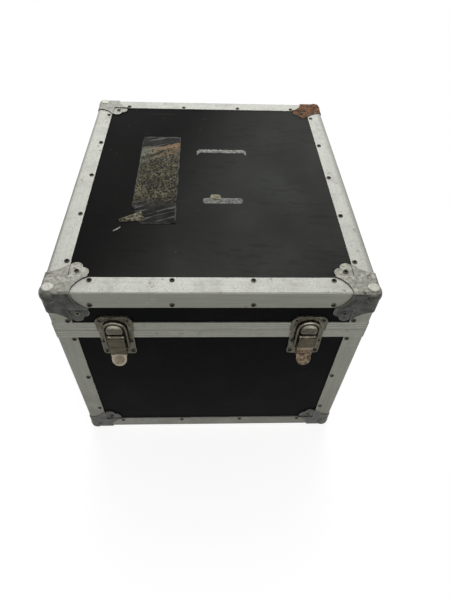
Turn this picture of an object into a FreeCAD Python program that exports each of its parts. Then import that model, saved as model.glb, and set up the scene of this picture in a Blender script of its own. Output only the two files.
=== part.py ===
import FreeCAD, Part
import math
import os
import Sketcher
from types import SimpleNamespace
from FreeCAD import Placement, Rotation, Vector

# Transport case with a hinged lid, in millimetres.
# +Z is up, the front with the latches faces -Y, and the origin is on the floor under the middle of the case.

SIZES = {
    # Case over its edge extrusions
    "case_width": 465,
    "case_depth": 552,
    "case_height": 395,
    "lid_height": 82,
    "parting_gap": 0.4,
    # Faced plywood panels
    "panel_thick": 9,
    "panel_gap": 0.2,
    # Double-angle edge extrusion
    "edge_leg": 30,
    "edge_wall": 1.5,
    "edge_inner_leg": 20,
    "edge_crease": 3,
    # Rim extrusions at the parting line
    "rim_leg": 17.4,
    "rim_inner_leg": 14,
    "lid_web": 2.5,
    "base_web": 7,
    "tongue_height": 4,
    "tongue_root": 4.8,
    "tongue_taper": 0.8,
    "tongue_play": 0.4,
    "flute_depth": 0.35,
    "flute_pitch": 5,
    # Rivets
    "rivet_head": 4,
    "rivet_crown": 2.7,
    "rivet_rise": 1.3,
    "rivet_shank": 2,
    "rivet_eye": 1.5,
    "rivet_eye_depth": 0.8,
    "rivet_bite": 7,
    "rivet_play": 0.05,
    "rivet_inset": 5.5,
    "rivet_end": 62,
    "post_rivet_foot": 74,
    "rivet_margin": 4.6,
    # Ball corners
    "corner_wall": 1.8,
    "corner_reach": 62,
    "corner_crease": 5,
    "corner_bare": 39,
    "corner_scoop": 34,
    "corner_lap": 1.4,
    "tab_proud": 0.4,
    "tab_gap": 0.1,
    "tab_size": 15,
    "tab_rivet": 42,
    "lobe_radius": 9.5,
    "lobe_across": 9.6,
    "lobe_along": 19.6,
    "ball_radius": 14.5,
    "ball_inset": 9.5,
    "ball_proud": 3.2,
    "ball_hollow": 28,
    # Draw latches
    "latch_end": 89.5,
    "keeper_width": 54,
    "keeper_height": 32,
    "keeper_corner": 13,
    "keeper_wall": 1.6,
    "knob_radius": 13.2,
    "knob_rise": 8.2,
    "knob_reach": 12,
    "knob_round": 6,
    "knob_foot": 0.6,
    "ridge_radius": 21.9,
    "ridge_width": 2.2,
    "ridge_rise": 1.3,
    "latch_plate_width": 50,
    "latch_plate_height": 57,
    "latch_plate_wall": 1.6,
    "latch_plate_corner": 5,
    "latch_rivet_inset": 6.5,
    "keeper_rivet_inset": 7,
    "ear_wall": 2.2,
    "ear_radius": 3.4,
    "pivot_out": 7,
    "pivot_drop": 8,
    "pin_radius": 1.8,
    "pin_play": 0.05,
    "lever_width": 25,
    "lever_wall": 1.5,
    "lever_length": 47,
    "lever_face": 5.3,
    "lever_round": 4.9,
    "lever_play": 0.3,
    "crease_drop": 27,
    "crease_width": 1.2,
    "crease_depth": 0.5,
    "finger_width": 22.5,
    "finger_length": 19,
    "finger_flare": 32,
    "finger_rim": 2.2,
    "finger_dish": 0.6,
    "wire_radius": 2.1,
    "loop_half_width": 16,
    "loop_out": 6,
    "loop_pivot_drop": 36,
    "loop_bend": 3.6,
    "loop_slack": 0.6,
    # Hinges
    "hinge_end": 89.5,
    "hinge_width": 60,
    "hinge_leaf": 45,
    "hinge_wall": 2,
    "hinge_corner": 6,
    "hinge_out": 6.5,
    "knuckle_radius": 5,
    "hinge_pin_radius": 2.5,
    "hinge_play": 0.05,
    "knuckle_gap": 0.3,
    "heel_reach": 12.2,
    "heel_thick": 4.4,
    "hinge_rivet_inset": 7,
    # Side handles
    "dish_width": 132,
    "dish_height": 86,
    "dish_depth": 24,
    "dish_wall": 1.5,
    "dish_flange": 18,
    "dish_corner": 10,
    "dish_play": 1,
    "handle_height": 160,
    "bail_radius": 4,
    "bail_half_width": 56,
    "bail_drop": 42,
    "bail_bend": 9,
    "bail_out": -12,
    "bail_rise": 25,
    "bail_play": 0.1,
    "bail_tail": 1.5,
    "grip_radius": 8,
    "grip_length": 84,
    "grip_play": 0.05,
    # Foam lining
    "foam_thick": 15,
    "foam_gap": 0.3,
}

doc = FreeCAD.newDocument("transport_case")
sheet = doc.addObject("Spreadsheet::Sheet", "Sizes")
for row, (alias, number) in enumerate(SIZES.items(), start=1):
    sheet.set(f"A{row}", alias)
    sheet.set(f"B{row}", str(number))
    sheet.setAlias(f"B{row}", alias)
doc.recompute()


class Size:
    """A length that keeps the sheet formula that it comes from."""

    def __init__(self, value, formula):
        self.value = value
        self.formula = formula

    @staticmethod
    def of(number):
        return number if isinstance(number, Size) else Size(number, repr(number))

    def __add__(self, other):
        other = Size.of(other)
        return Size(self.value + other.value, f"({self.formula} + {other.formula})")

    def __sub__(self, other):
        other = Size.of(other)
        return Size(self.value - other.value, f"({self.formula} - {other.formula})")

    def __mul__(self, factor):
        return Size(self.value * factor, f"({self.formula} * {factor!r})")

    def __truediv__(self, divisor):
        return Size(self.value / divisor, f"({self.formula} / {divisor!r})")

    def __neg__(self):
        return Size(-self.value, f"(-{self.formula})")

    def __float__(self):
        return float(self.value)


S = SimpleNamespace(**{alias: Size(number, f"Sizes.{alias}") for alias, number in SIZES.items()})
ZERO = Size.of(0)

# Main planes of the case
half_width = S.case_width / 2
half_depth = S.case_depth / 2
z_bottom = S.ball_proud
z_top = S.ball_proud + S.case_height
z_part = z_top - S.lid_height
z_lid = z_part + S.parting_gap
slot = S.edge_wall * 2 + S.panel_thick
panel_edge = slot + S.panel_gap
inner_face = S.edge_wall + S.panel_thick

AXES = (Vector(1, 0, 0), Vector(0, 1, 0), Vector(0, 0, 1))
nodes = {}


def vector(spot):
    return Vector(*(float(part) for part in spot))


def bind(target, path, size):
    target.setExpression(path, Size.of(size).formula)


def settle(target, spot, rotation=None):
    """Puts an object at a bound spot, turned by a fixed rotation."""
    target.Placement = Placement(vector(spot), rotation or Rotation())
    for letter, part in zip("xyz", spot):
        bind(target, f"Placement.Base.{letter}", part)


def turned(first, second):
    """The rotation that takes local x to the first direction and local y to the second."""
    return Rotation(first, second, first.cross(second), "ZXY")


def keep(label, target):
    target.Label = label
    nodes[label] = target
    return target


class Solid:
    """A body grown from primitives that are bound to the sheet."""

    def __init__(self, name):
        self.body = doc.addObject("PartDesign::Body", name)

    def _feature(self, kind, cut, spot, rotation, sizes):
        prefix = "Subtractive" if cut else "Additive"
        feature = self.body.newObject(f"PartDesign::{prefix}{kind}", kind)
        for path, size in sizes.items():
            bind(feature, path, size)
        settle(feature, spot, rotation)
        return self

    def box(self, near, far, cut=False):
        """A box between two opposite corners."""
        pairs = [(a, b) if float(a) <= float(b) else (b, a) for a, b in zip(near, far)]
        low = [Size.of(pair[0]) for pair in pairs]
        spans = [Size.of(high) - start for start, (_, high) in zip(low, pairs)]
        return self._feature("Box", cut, low, None, dict(zip(("Length", "Width", "Height"), spans)))

    def turned_box(self, spot, rotation, spans, cut=False):
        return self._feature("Box", cut, spot, rotation, dict(zip(("Length", "Width", "Height"), spans)))

    def cylinder(self, radius, spot, direction, length, cut=False):
        rotation = Rotation(AXES[2], direction)
        return self._feature("Cylinder", cut, spot, rotation, {"Radius": radius, "Height": length})

    def sphere(self, radius, spot, cut=False):
        return self._feature("Sphere", cut, spot, None, {"Radius": radius})

    def fillet(self, radius, choose):
        """Rounds the edges of the last feature that the test chooses."""
        doc.recompute()
        base = self.body.Tip
        edges = base.Shape.Edges
        names = [f"Edge{place}" for place, edge in enumerate(edges, start=1) if choose(edge)]
        feature = self.body.newObject("PartDesign::Fillet", "Fillet")
        feature.Base = (base, names)
        bind(feature, "Radius", radius)
        return self


def origin_plane(body, role):
    return next(plane for plane in body.Origin.OriginFeatures if plane.Role == role)


def sketch_on(body, role):
    sketch = body.newObject("Sketcher::SketchObject", "Outline")
    sketch.AttachmentSupport = (origin_plane(body, role), [""])
    sketch.MapMode = "FlatFace"
    return sketch


def add_loop(sketch, corners):
    """A closed loop of straight lines whose corners are bound to the sheet."""
    first = sketch.GeometryCount
    count = len(corners)
    points = [Vector(float(across), float(up), 0) for across, up in corners]
    for start, end in zip(points, points[1:] + points[:1]):
        sketch.addGeometry(Part.LineSegment(start, end))
    for place in range(count):
        follower = first + (place + 1) % count
        sketch.addConstraint(Sketcher.Constraint("Coincident", first + place, 2, follower, 1))
    for place, corner in enumerate(corners):
        for kind, axis, size in zip(("DistanceX", "DistanceY"), (-2, -1), corner):
            if float(size) == 0:
                sketch.addConstraint(Sketcher.Constraint("PointOnObject", first + place, 1, axis))
            else:
                index = sketch.addConstraint(
                    Sketcher.Constraint(kind, -1, 1, first + place, 1, float(size)))
                bind(sketch, f"Constraints[{index}]", size)


def extrude(body, loops, length):
    sketch = sketch_on(body, "XY_Plane")
    for corners in loops:
        add_loop(sketch, corners)
    pad = body.newObject("PartDesign::Pad", "Length")
    pad.Profile = sketch
    bind(pad, "Length", length)
    return pad


def placed_copy(master, name, spot, rotation):
    """The master shape again, at another place."""
    copy = doc.addObject("Part::Compound", name)
    copy.Links = [master]
    settle(copy, spot, rotation)
    return copy


class Face:
    """One outer side of the case, with places given along it, up it and out of it."""

    def __init__(self, name, outward, spot):
        self.name = name
        self.outward = Vector(*outward)
        self.spot = spot
        self.rivets = {"base": [], "lid": []}
        self.drills = doc.addObject("Part::Feature", f"{name}_drills")

    def add_rivet(self, part, along, up, seat=ZERO):
        self.rivets[part].append((along, up, seat))


FACES = {
    "front": Face("front", (0, -1, 0), lambda along, up, out: (along, -(half_depth + out), up)),
    "back": Face("back", (0, 1, 0), lambda along, up, out: (along, half_depth + out, up)),
    "left": Face("left", (-1, 0, 0), lambda along, up, out: (-(half_width + out), along, up)),
    "right": Face("right", (1, 0, 0), lambda along, up, out: (half_width + out, along, up)),
    "top": Face("top", (0, 0, 1), lambda along, up, out: (along, up, z_top + out)),
    "bottom": Face("bottom", (0, 0, -1), lambda along, up, out: (along, up, z_bottom - out)),
}


def drilled(label, blank, *names):
    """Keeps a node with the rivet holes of the named faces cut into it."""
    tools = doc.addObject("Part::Compound", f"{label}_drills")
    tools.Links = [FACES[name].drills for name in names]
    cut = doc.addObject("Part::Cut", label)
    cut.Base = blank
    cut.Tool = tools
    return keep(label, cut)


# Panels
def make_panels():
    width = half_width - panel_edge
    depth = half_depth - panel_edge
    floor = z_bottom + S.edge_wall
    ceiling = z_top - S.edge_wall
    outer = S.edge_wall
    levels = {
        "base": (z_bottom + panel_edge, z_part - S.base_web - S.panel_gap),
        "lid": (z_lid + S.lid_web + S.panel_gap, z_top - panel_edge),
    }
    for part, (low, high) in levels.items():
        for name, half in (("front", width), ("back", width), ("left", depth), ("right", depth)):
            face = FACES[name]
            solid = Solid(f"{part}_{name}_sheet")
            solid.box(face.spot(-half, low, -outer), face.spot(half, high, -inner_face))
            if part == "base" and name in ("left", "right"):
                window = S.dish_width / 2 + S.dish_wall + S.bail_tail + S.dish_play
                rise = S.dish_height / 2 + S.dish_wall + S.dish_play
                solid.box(face.spot(-window, S.handle_height - rise, ZERO),
                          face.spot(window, S.handle_height + rise, -slot), cut=True)
            drilled(f"{part}_{name}_panel", solid.body, name)
    base = Solid("floor_sheet").box((-width, -depth, floor), (width, depth, floor + S.panel_thick))
    drilled("base_floor_panel", base.body, "bottom")
    lid = Solid("top_sheet").box((-width, -depth, ceiling - S.panel_thick), (width, depth, ceiling))
    drilled("lid_top_panel", lid.body, "top")


# Double-angle edge extrusions
def double_angle(name, length):
    leg = S.edge_leg
    wall = S.edge_wall
    reach = S.edge_inner_leg
    outline = [
        (ZERO, ZERO), (leg, ZERO), (leg, wall), (slot, wall), (slot, inner_face), (reach, inner_face),
        (reach, slot), (slot, slot), (slot, reach), (inner_face, reach), (inner_face, slot), (wall, slot),
        (wall, leg), (ZERO, leg),
    ]
    core = [(wall, wall), (inner_face, wall), (inner_face, inner_face), (wall, inner_face)]
    solid = Solid(name)
    extrude(solid.body, [outline, core], length)

    def is_crease(edge):
        return all(math.hypot(vertex.X, vertex.Y) < float(S.edge_wall) / 2 for vertex in edge.Vertexes)

    solid.fillet(S.edge_crease, is_crease)
    return solid.body


def make_edges():
    across = double_angle("across_edge", S.case_width - S.edge_leg * 2)
    deep = double_angle("deep_edge", S.case_depth - S.edge_leg * 2)
    levels = {"base": ("base_bottom_edge", 1, z_bottom, "bottom"), "lid": ("lid_top_edge", -1, z_top, "top")}
    for label, up, level, flat in levels.values():
        for name, inward in (("front", 1), ("back", -1)):
            start = (half_width - S.edge_leg) * -(inward * up)
            copy = placed_copy(across, f"{label}_{name}_bar", (start, half_depth * -inward, level),
                               turned(AXES[1] * inward, AXES[2] * up))
            drilled(f"{label}_{name}", copy, name, flat)
        for name, inward in (("left", 1), ("right", -1)):
            start = (half_depth - S.edge_leg) * -(inward * up)
            copy = placed_copy(deep, f"{label}_{name}_bar", (half_width * -inward, start, level),
                               turned(AXES[2] * up, AXES[0] * inward))
            drilled(f"{label}_{name}", copy, name, flat)


def make_posts():
    levels = {
        "base": (z_bottom + S.edge_leg, z_part - S.rim_leg),
        "lid": (z_lid + S.rim_leg, z_top - S.edge_leg),
    }
    for part, (low, high) in levels.items():
        master = double_angle(f"{part}_post", high - low)
        posts = doc.addObject("Part::Compound", f"{part}_posts")
        copies = []
        for right in (1, -1):
            for back in (1, -1):
                level = low if right * back > 0 else high
                spot = (half_width * -right, half_depth * -back, level)
                copies.append(placed_copy(master, f"{part}_post_copy", spot,
                                          turned(AXES[0] * right, AXES[1] * back)))
        posts.Links = copies
        drilled(f"{part}_corner_posts", posts, "front", "back", "left", "right")


# Rim extrusions, mitred at their ends
def flutes(level):
    """The fine grooves in the outer face of a rim, from its free edge down to the parting line."""
    points = []
    for count in (3, 2, 1):
        middle = level + S.flute_pitch * count
        points += [(ZERO, middle + S.flute_depth), (S.flute_depth, middle), (ZERO, middle - S.flute_depth)]
    return points


def rim_body(name, outline, length):
    solid = Solid(name)
    extrude(solid.body, [outline], length)
    sketch = sketch_on(solid.body, "XZ_Plane")
    deep = slot + S.edge_wall
    add_loop(sketch, [(ZERO, ZERO), (deep, ZERO), (deep, deep)])
    add_loop(sketch, [(ZERO, length), (deep, length - deep), (deep, length)])
    mitre = solid.body.newObject("PartDesign::Pocket", "Mitre")
    mitre.Profile = sketch
    mitre.Type = "ThroughAll"
    mitre.SideType = "Symmetric"
    return solid.body


def rim_outlines():
    middle = slot / 2
    root = S.tongue_root / 2
    tip = root - S.tongue_taper
    wall = S.edge_wall
    # The lid's profile stands on the tip of its tongue, so that no place in it is negative
    part = S.tongue_height
    web = part + S.lid_web
    lid = [
        (ZERO, part), (middle - root, part), (middle - tip, ZERO), (middle + tip, ZERO),
        (middle + root, part), (slot, part), (slot, part + S.rim_inner_leg),
        (inner_face, part + S.rim_inner_leg), (inner_face, web), (wall, web),
        (wall, part + S.rim_leg), (ZERO, part + S.rim_leg),
    ] + flutes(part)
    play = S.tongue_play
    deep = S.tongue_height + play
    base = [
        (ZERO, ZERO), (middle - root - play, ZERO), (middle - tip - play, deep), (middle + tip + play, deep),
        (middle + root + play, ZERO), (slot, ZERO), (slot, S.rim_inner_leg),
        (inner_face, S.rim_inner_leg), (inner_face, S.base_web), (wall, S.base_web),
        (wall, S.rim_leg), (ZERO, S.rim_leg),
    ] + flutes(ZERO)
    return {"base": (base, -1, z_part), "lid": (lid, 1, z_lid - S.tongue_height)}


def make_rims():
    for part, (outline, up, level) in rim_outlines().items():
        across = rim_body(f"{part}_across_rim", outline, S.case_width)
        deep = rim_body(f"{part}_deep_rim", outline, S.case_depth)
        for name, inward in (("front", 1), ("back", -1)):
            spot = (half_width * -(inward * up), half_depth * -inward, level)
            keep(f"{part}_rim_{name}",
                 placed_copy(across, f"{part}_rim_{name}", spot, turned(AXES[1] * inward, AXES[2] * up)))
        for name, inward in (("left", 1), ("right", -1)):
            spot = (half_width * -inward, half_depth * (inward * up), level)
            keep(f"{part}_rim_{name}",
                 placed_copy(deep, f"{part}_rim_{name}", spot, turned(AXES[0] * inward, AXES[2] * up)))


# Ball corners, pressed from sheet: the local origin is the outer corner of the case
def ball_corner():
    wall = S.corner_wall
    reach = S.corner_reach
    solid = Solid("ball_corner").box((-wall, -wall, -wall), (reach, reach, reach))

    def is_crease(edge):
        middle = edge.BoundBox.Center
        return sum(abs(part + float(wall)) < 1e-6 for part in middle) == 2

    solid.fillet(S.corner_crease, is_crease)
    solid.sphere(S.ball_radius, (S.ball_inset, S.ball_inset, S.ball_inset))
    swaps = (lambda a, b, c: (a, b, c), lambda a, b, c: (c, a, b), lambda a, b, c: (b, c, a))
    far = reach * 2
    proud = S.ball_proud
    hollow = S.ball_hollow
    lap = S.edge_leg + S.corner_lap
    scoop = S.corner_bare + S.corner_scoop
    ball_end = S.ball_radius * 2
    for swap in swaps:
        solid.box(swap(-ball_end, -ball_end, -ball_end), swap(far, far, -proud), cut=True)
        solid.box(swap(ZERO, ZERO, hollow), swap(far, far, far), cut=True)
        solid.box(swap(lap, lap, -ball_end), swap(far, far, hollow), cut=True)
    solid.box((S.edge_wall, S.edge_wall, S.edge_wall), (far, far, far), cut=True)
    for swap in swaps:
        solid.sphere(S.corner_scoop, swap(scoop, ZERO, ZERO), cut=True)
    near = S.edge_leg + S.tab_gap
    edge = S.edge_leg + S.tab_size
    thick = S.tab_proud + S.edge_wall
    for swap, normal in zip(swaps, (AXES[2], AXES[0], AXES[1])):
        solid.box(swap(near, near, -S.tab_proud), swap(edge, edge, S.edge_wall))
        for along, across in ((S.lobe_along, S.lobe_across), (S.lobe_across, S.lobe_along)):
            middle = swap(S.edge_leg + along, S.edge_leg + across, -S.tab_proud)
            solid.cylinder(S.lobe_radius, middle, normal, thick)
    return solid.body


def make_corners():
    master = ball_corner()
    for part, up, level, flat in (("base", 1, z_bottom, "bottom"), ("lid", -1, z_top, "top")):
        for depth_name, back in (("front", 1), ("back", -1)):
            for width_name, right in (("left", 1), ("right", -1)):
                label = f"{part}_corner_{depth_name}_{width_name}"
                across = AXES[0] * right
                deep = AXES[1] * back
                rotation = turned(across, deep) if right * back == up else turned(deep, across)
                spot = (half_width * -right, half_depth * -back, level)
                copy = placed_copy(master, f"{label}_shell", spot, rotation)
                drilled(label, copy, depth_name, width_name, flat)


# Draw latches
def wire(name, points, bends, radius):
    """A round wire along straight runs, with a round bend at each inner point."""
    edges = []
    start = points[0]

    def run_to(end):
        if start.distanceToPoint(end) > 1e-6:
            edges.append(Part.LineSegment(start, end).toShape())

    for corner, after, bend in zip(points[1:-1], points[2:], bends):
        into = (corner - start).normalize()
        out = (after - corner).normalize()
        trim = bend * math.tan(into.getAngle(out) / 2)
        first = corner - into * trim
        last = corner + out * trim
        middle = corner + (out - into).normalize() * (math.hypot(trim, bend) - bend)
        run_to(first)
        edges.append(Part.Arc(first, middle, last).toShape())
        start = last
    run_to(points[-1])
    circle = Part.Circle(points[0], points[1] - points[0], radius).toShape()
    target = doc.addObject("Part::Feature", name)
    target.Shape = Part.Wire(edges).makePipeShell([Part.Wire([circle])], True, False)
    return target


def pressed_plate(name, face, middle, width, wall, near, far, rim_edge):
    """A plate on a rim whose outer end is set back onto the panel."""
    half = width / 2
    solid = Solid(name)
    solid.box(face.spot(middle - half, near, ZERO), face.spot(middle + half, far, wall))
    solid.box(face.spot(middle - half, rim_edge, ZERO), face.spot(middle + half, far, -S.edge_wall))
    return solid


def free_corners(middle, width, level):
    """A test for the edges that stand out of the case at the two free corners of a plate."""
    sides = [float(middle - width / 2), float(middle + width / 2)]

    def choose(edge):
        level_run = all(abs(vertex.Z - float(level)) < 1e-6 for vertex in edge.Vertexes)
        return level_run and any(abs(edge.BoundBox.Center.x - side) < 1e-6 for side in sides)

    return choose


def make_keeper(name, middle):
    face = FACES["front"]
    foot = z_lid + S.knob_foot
    top = z_part + S.keeper_height
    plate = pressed_plate(f"{name}_blank", face, middle, S.keeper_width, S.keeper_wall, z_lid, top,
                          z_lid + S.rim_leg + S.panel_gap)
    plate.fillet(S.keeper_corner, free_corners(middle, S.keeper_width, top))
    base = face.spot(middle, z_part + S.knob_rise, S.keeper_wall)
    plate.cylinder(S.ridge_radius, base, face.outward, S.ridge_rise)
    plate.cylinder(S.ridge_radius - S.ridge_width, base, face.outward, S.ridge_rise, cut=True)
    plate.cylinder(S.knob_radius, base, face.outward, S.knob_reach - S.keeper_wall)
    plate.box(face.spot(middle - S.keeper_width, z_part - S.keeper_width, S.keeper_wall),
              face.spot(middle + S.keeper_width, foot, S.knob_reach * 2), cut=True)

    def is_knob_front(edge):
        return all(abs(vertex.Y + float(half_depth + S.knob_reach)) < 1e-6 for vertex in edge.Vertexes)

    plate.fillet(S.knob_round, is_knob_front)
    inset = S.keeper_rivet_inset
    for side in (-1, 1):
        face.add_rivet("lid", middle + (S.keeper_width / 2 - inset) * side, top - inset, S.keeper_wall)
    drilled(name, plate.body, "front")


def make_latch_plate(name, middle):
    face = FACES["front"]
    low = z_part - S.latch_plate_height
    wall = S.latch_plate_wall
    plate = pressed_plate(f"{name}_blank", face, middle, S.latch_plate_width, wall, z_part - S.panel_gap, low,
                          z_part - S.rim_leg - S.panel_gap)
    plate.fillet(S.latch_plate_corner, free_corners(middle, S.latch_plate_width, low))
    inner = S.lever_width / 2 - S.lever_wall - S.lever_play
    level = z_part - S.pivot_drop
    for side in (-1, 1):
        near = middle + (inner - S.ear_wall) * side
        far = middle + inner * side
        plate.box(face.spot(near, level - S.ear_radius, ZERO),
                  face.spot(far, level + S.ear_radius, S.pivot_out))
        start = near if side > 0 else far
        plate.cylinder(S.ear_radius, face.spot(start, level, S.pivot_out), AXES[0], S.ear_wall)
    bore = S.pin_radius + S.pin_play
    plate.cylinder(bore, face.spot(middle - inner * 2, level, S.pivot_out), AXES[0], inner * 4, cut=True)
    inset = S.latch_rivet_inset
    for side in (-1, 1):
        for up in (z_part - S.rim_leg - inset, low + inset):
            face.add_rivet("base", middle + (S.latch_plate_width / 2 - inset * 0.75) * side, up, wall)
    drilled(name, plate.body, "front")


def make_lever(name, middle):
    face = FACES["front"]
    half = S.lever_width / 2
    wall = S.lever_wall
    pivot = z_part - S.pivot_drop
    end = z_part - S.lever_length
    front = S.pivot_out + S.lever_face
    back = S.pivot_out - S.lever_round
    top = pivot + S.pin_radius
    lever = Solid(f"{name}_blank")
    lever.box(face.spot(middle - half, end, front - wall), face.spot(middle + half, top, front))
    crease = z_part - S.crease_drop
    lever.box(face.spot(middle - half, crease, front - S.crease_depth),
              face.spot(middle + half, crease - S.crease_width, front + wall), cut=True)
    for side in (-1, 1):
        near = middle + (half - wall) * side
        far = middle + half * side
        start = near if side > 0 else far
        lever.box(face.spot(near, end, back), face.spot(far, pivot, front))
        lever.cylinder(S.lever_round, face.spot(start, pivot, S.pivot_out), AXES[0], wall)
    barrel = half - wall - S.ear_wall - S.lever_play * 2
    lever.cylinder(S.lever_round, face.spot(middle - barrel, pivot, S.pivot_out), AXES[0], barrel * 2)
    flare = math.radians(float(S.finger_flare))
    down = Vector(0, -math.sin(flare), -math.cos(flare))
    rotation = turned(AXES[0], down)
    finger = S.finger_width / 2
    root = face.spot(middle - finger, end + wall, front)
    length = S.finger_length - finger
    lever.turned_box(root, rotation, (S.finger_width, length, wall))
    tip_reach = float(length)
    tip = (middle, root[1] + down.y * tip_reach, root[2] + down.z * tip_reach)
    inward = AXES[0].cross(down)
    lever.cylinder(finger, tip, inward, wall)
    # The finger's outer face is dished inside a raised rim
    rim = S.finger_rim
    bowl = finger - rim
    lift = S.finger_dish - wall

    def raised(spot):
        return [part + lift * share for part, share in zip(spot, inward)]

    start = [part + rim * share for part, share in zip(raised(root), (1, down.y, down.z))]
    lever.turned_box(start, rotation, (bowl * 2, length - rim, wall), cut=True)
    lever.cylinder(bowl, raised(tip), inward, wall, cut=True)
    for level, out, radius in (
            (pivot, S.pivot_out, S.pin_radius), (z_part - S.loop_pivot_drop, S.loop_out, S.wire_radius)):
        lever.cylinder(radius + S.pin_play, face.spot(middle - half * 2, level, out), AXES[0],
                       S.lever_width * 2, cut=True)
    keep(name, lever.body)


def make_loop(name, middle):
    face = FACES["front"]
    half = S.loop_half_width
    inner = S.lever_width / 2 - S.lever_wall - S.lever_play
    low = z_part - S.loop_pivot_drop
    crown = z_part + S.knob_rise + S.knob_radius + S.loop_slack + S.wire_radius
    spots = [(inner, low), (half, low), (half, crown), (-half, crown), (-half, low), (-inner, low)]
    points = [vector(face.spot(middle + across, up, S.loop_out)) for across, up in spots]
    bends = [float(size) for size in (S.loop_bend, half, half, S.loop_bend)]
    keep(name, wire(name, points, bends, float(S.wire_radius)))


def make_latches():
    pins = doc.addObject("Part::Compound", "latch_lever_pins")
    links = []
    half = S.lever_width / 2
    for name, side in (("left", -1), ("right", 1)):
        middle = (half_width - S.latch_end) * side
        make_keeper(f"latch_{name}_keeper", middle)
        make_latch_plate(f"latch_{name}_plate", middle)
        make_lever(f"latch_{name}_lever", middle)
        make_loop(f"latch_{name}_loop", middle)
        start = FACES["front"].spot(middle - half, z_part - S.pivot_drop, S.pivot_out)
        links.append(Solid(f"{name}_pin").cylinder(S.pin_radius, start, AXES[0], S.lever_width).body)
    pins.Links = links
    keep("latch_lever_pins", pins)


# Hinges
def make_hinge(name, middle):
    face = FACES["back"]
    half = S.hinge_width / 2
    third = S.hinge_width / 3
    wall = S.hinge_wall
    axis = face.spot(middle - half, z_part, S.hinge_out)
    clear = S.knuckle_radius + S.knuckle_gap * 2
    leaves = {
        "base": (-1, z_part - S.panel_gap, z_part - S.rim_leg - S.panel_gap,
                 ((-half, -half + third), (half - third, half))),
        "lid": (1, z_lid, z_lid + S.rim_leg + S.panel_gap, ((-half + third, half - third),)),
    }
    for part, (up, near, rim_edge, knuckles) in leaves.items():
        far = z_part + S.hinge_leaf * up
        start = z_part + clear * up
        leaf = pressed_plate(f"{name}_{part}_blank", face, middle, S.hinge_width, wall, start, far, rim_edge)
        leaf.fillet(S.hinge_corner, free_corners(middle, S.hinge_width, far))
        for begin, end in knuckles:
            first = begin if float(begin) == -float(half) else begin + S.knuckle_gap / 2
            last = end if float(end) == float(half) else end - S.knuckle_gap / 2
            leaf.box(face.spot(middle + first, near, ZERO), face.spot(middle + last, start, S.hinge_out))
            leaf.cylinder(S.knuckle_radius, face.spot(middle + first, z_part, S.hinge_out), AXES[0],
                          last - first)
        if part == "lid":
            begin, end = knuckles[0]
            leaf.box(face.spot(middle + begin + S.knuckle_gap, z_part - S.heel_thick / 2, S.hinge_out),
                     face.spot(middle + end - S.knuckle_gap, z_part + S.heel_thick / 2,
                               S.hinge_out + S.heel_reach))
        leaf.cylinder(S.hinge_pin_radius + S.hinge_play, axis, AXES[0], S.hinge_width, cut=True)
        inset = S.hinge_rivet_inset
        for side in (-1, 1):
            for level in (rim_edge + inset * up, far - inset * up):
                face.add_rivet(part, middle + (half - inset) * side, level, wall)
        drilled(f"{name}_{part}_leaf", leaf.body, "back")
    return Solid(f"{name}_pin").cylinder(S.hinge_pin_radius, axis, AXES[0], S.hinge_width).body


def make_hinges():
    pins = doc.addObject("Part::Compound", "hinge_pins")
    half = half_width - S.hinge_end
    pins.Links = [make_hinge("hinge_left", -half), make_hinge("hinge_right", half)]
    keep("hinge_pins", pins)


# Side handles in pressed dishes
def make_handle(name):
    face = FACES[name]
    seat = -S.edge_wall
    wall = S.dish_wall
    width = S.dish_width / 2
    height = S.dish_height / 2
    middle = S.handle_height
    rim = S.dish_flange
    deep = seat - S.dish_depth

    def is_corner(edge):
        return all(abs(edge.tangentAt(edge.FirstParameter).dot(axis)) < 1e-6 for axis in AXES[1:])

    dish = Solid(f"{name}_dish_blank")
    dish.box(face.spot(-(width + rim), middle - height - rim, seat),
             face.spot(width + rim, middle + height + rim, seat + wall))
    dish.fillet(S.dish_corner, is_corner)
    dish.box(face.spot(-(width + wall), middle - height - wall, seat),
             face.spot(width + wall, middle + height + wall, deep - wall))
    dish.box(face.spot(-width, middle - height, deep), face.spot(width, middle + height, wall * 2), cut=True)
    axis_level = middle + S.bail_rise
    bore = S.bail_radius + S.bail_play
    reach = width + wall + S.bail_tail
    dish.cylinder(bore, face.spot(-reach, axis_level, S.bail_out), AXES[1], reach * 2, cut=True)
    for across in (-1, 0, 1):
        for up in (-1, 1):
            face.add_rivet("base", (width + rim / 2) * across, middle + (height + rim / 2) * up, seat + wall)
    drilled(f"handle_{name}_dish", dish.body, name)

    half = S.bail_half_width
    low = axis_level - S.bail_drop
    spots = [(-reach, axis_level), (-half, axis_level), (-half, low), (half, low), (half, axis_level),
             (reach, axis_level)]
    points = [vector(face.spot(along, up, S.bail_out)) for along, up in spots]
    keep(f"handle_{name}_bail",
         wire(f"handle_{name}_bail", points, [float(S.bail_bend)] * 4, float(S.bail_radius)))

    grip = Solid(f"handle_{name}_grip_body")
    start = face.spot(-(S.grip_length / 2), low, S.bail_out)
    grip.cylinder(S.grip_radius, start, AXES[1], S.grip_length)
    grip.cylinder(S.bail_radius + S.grip_play, start, AXES[1], S.grip_length, cut=True)
    keep(f"handle_{name}_grip", grip.body)


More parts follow.
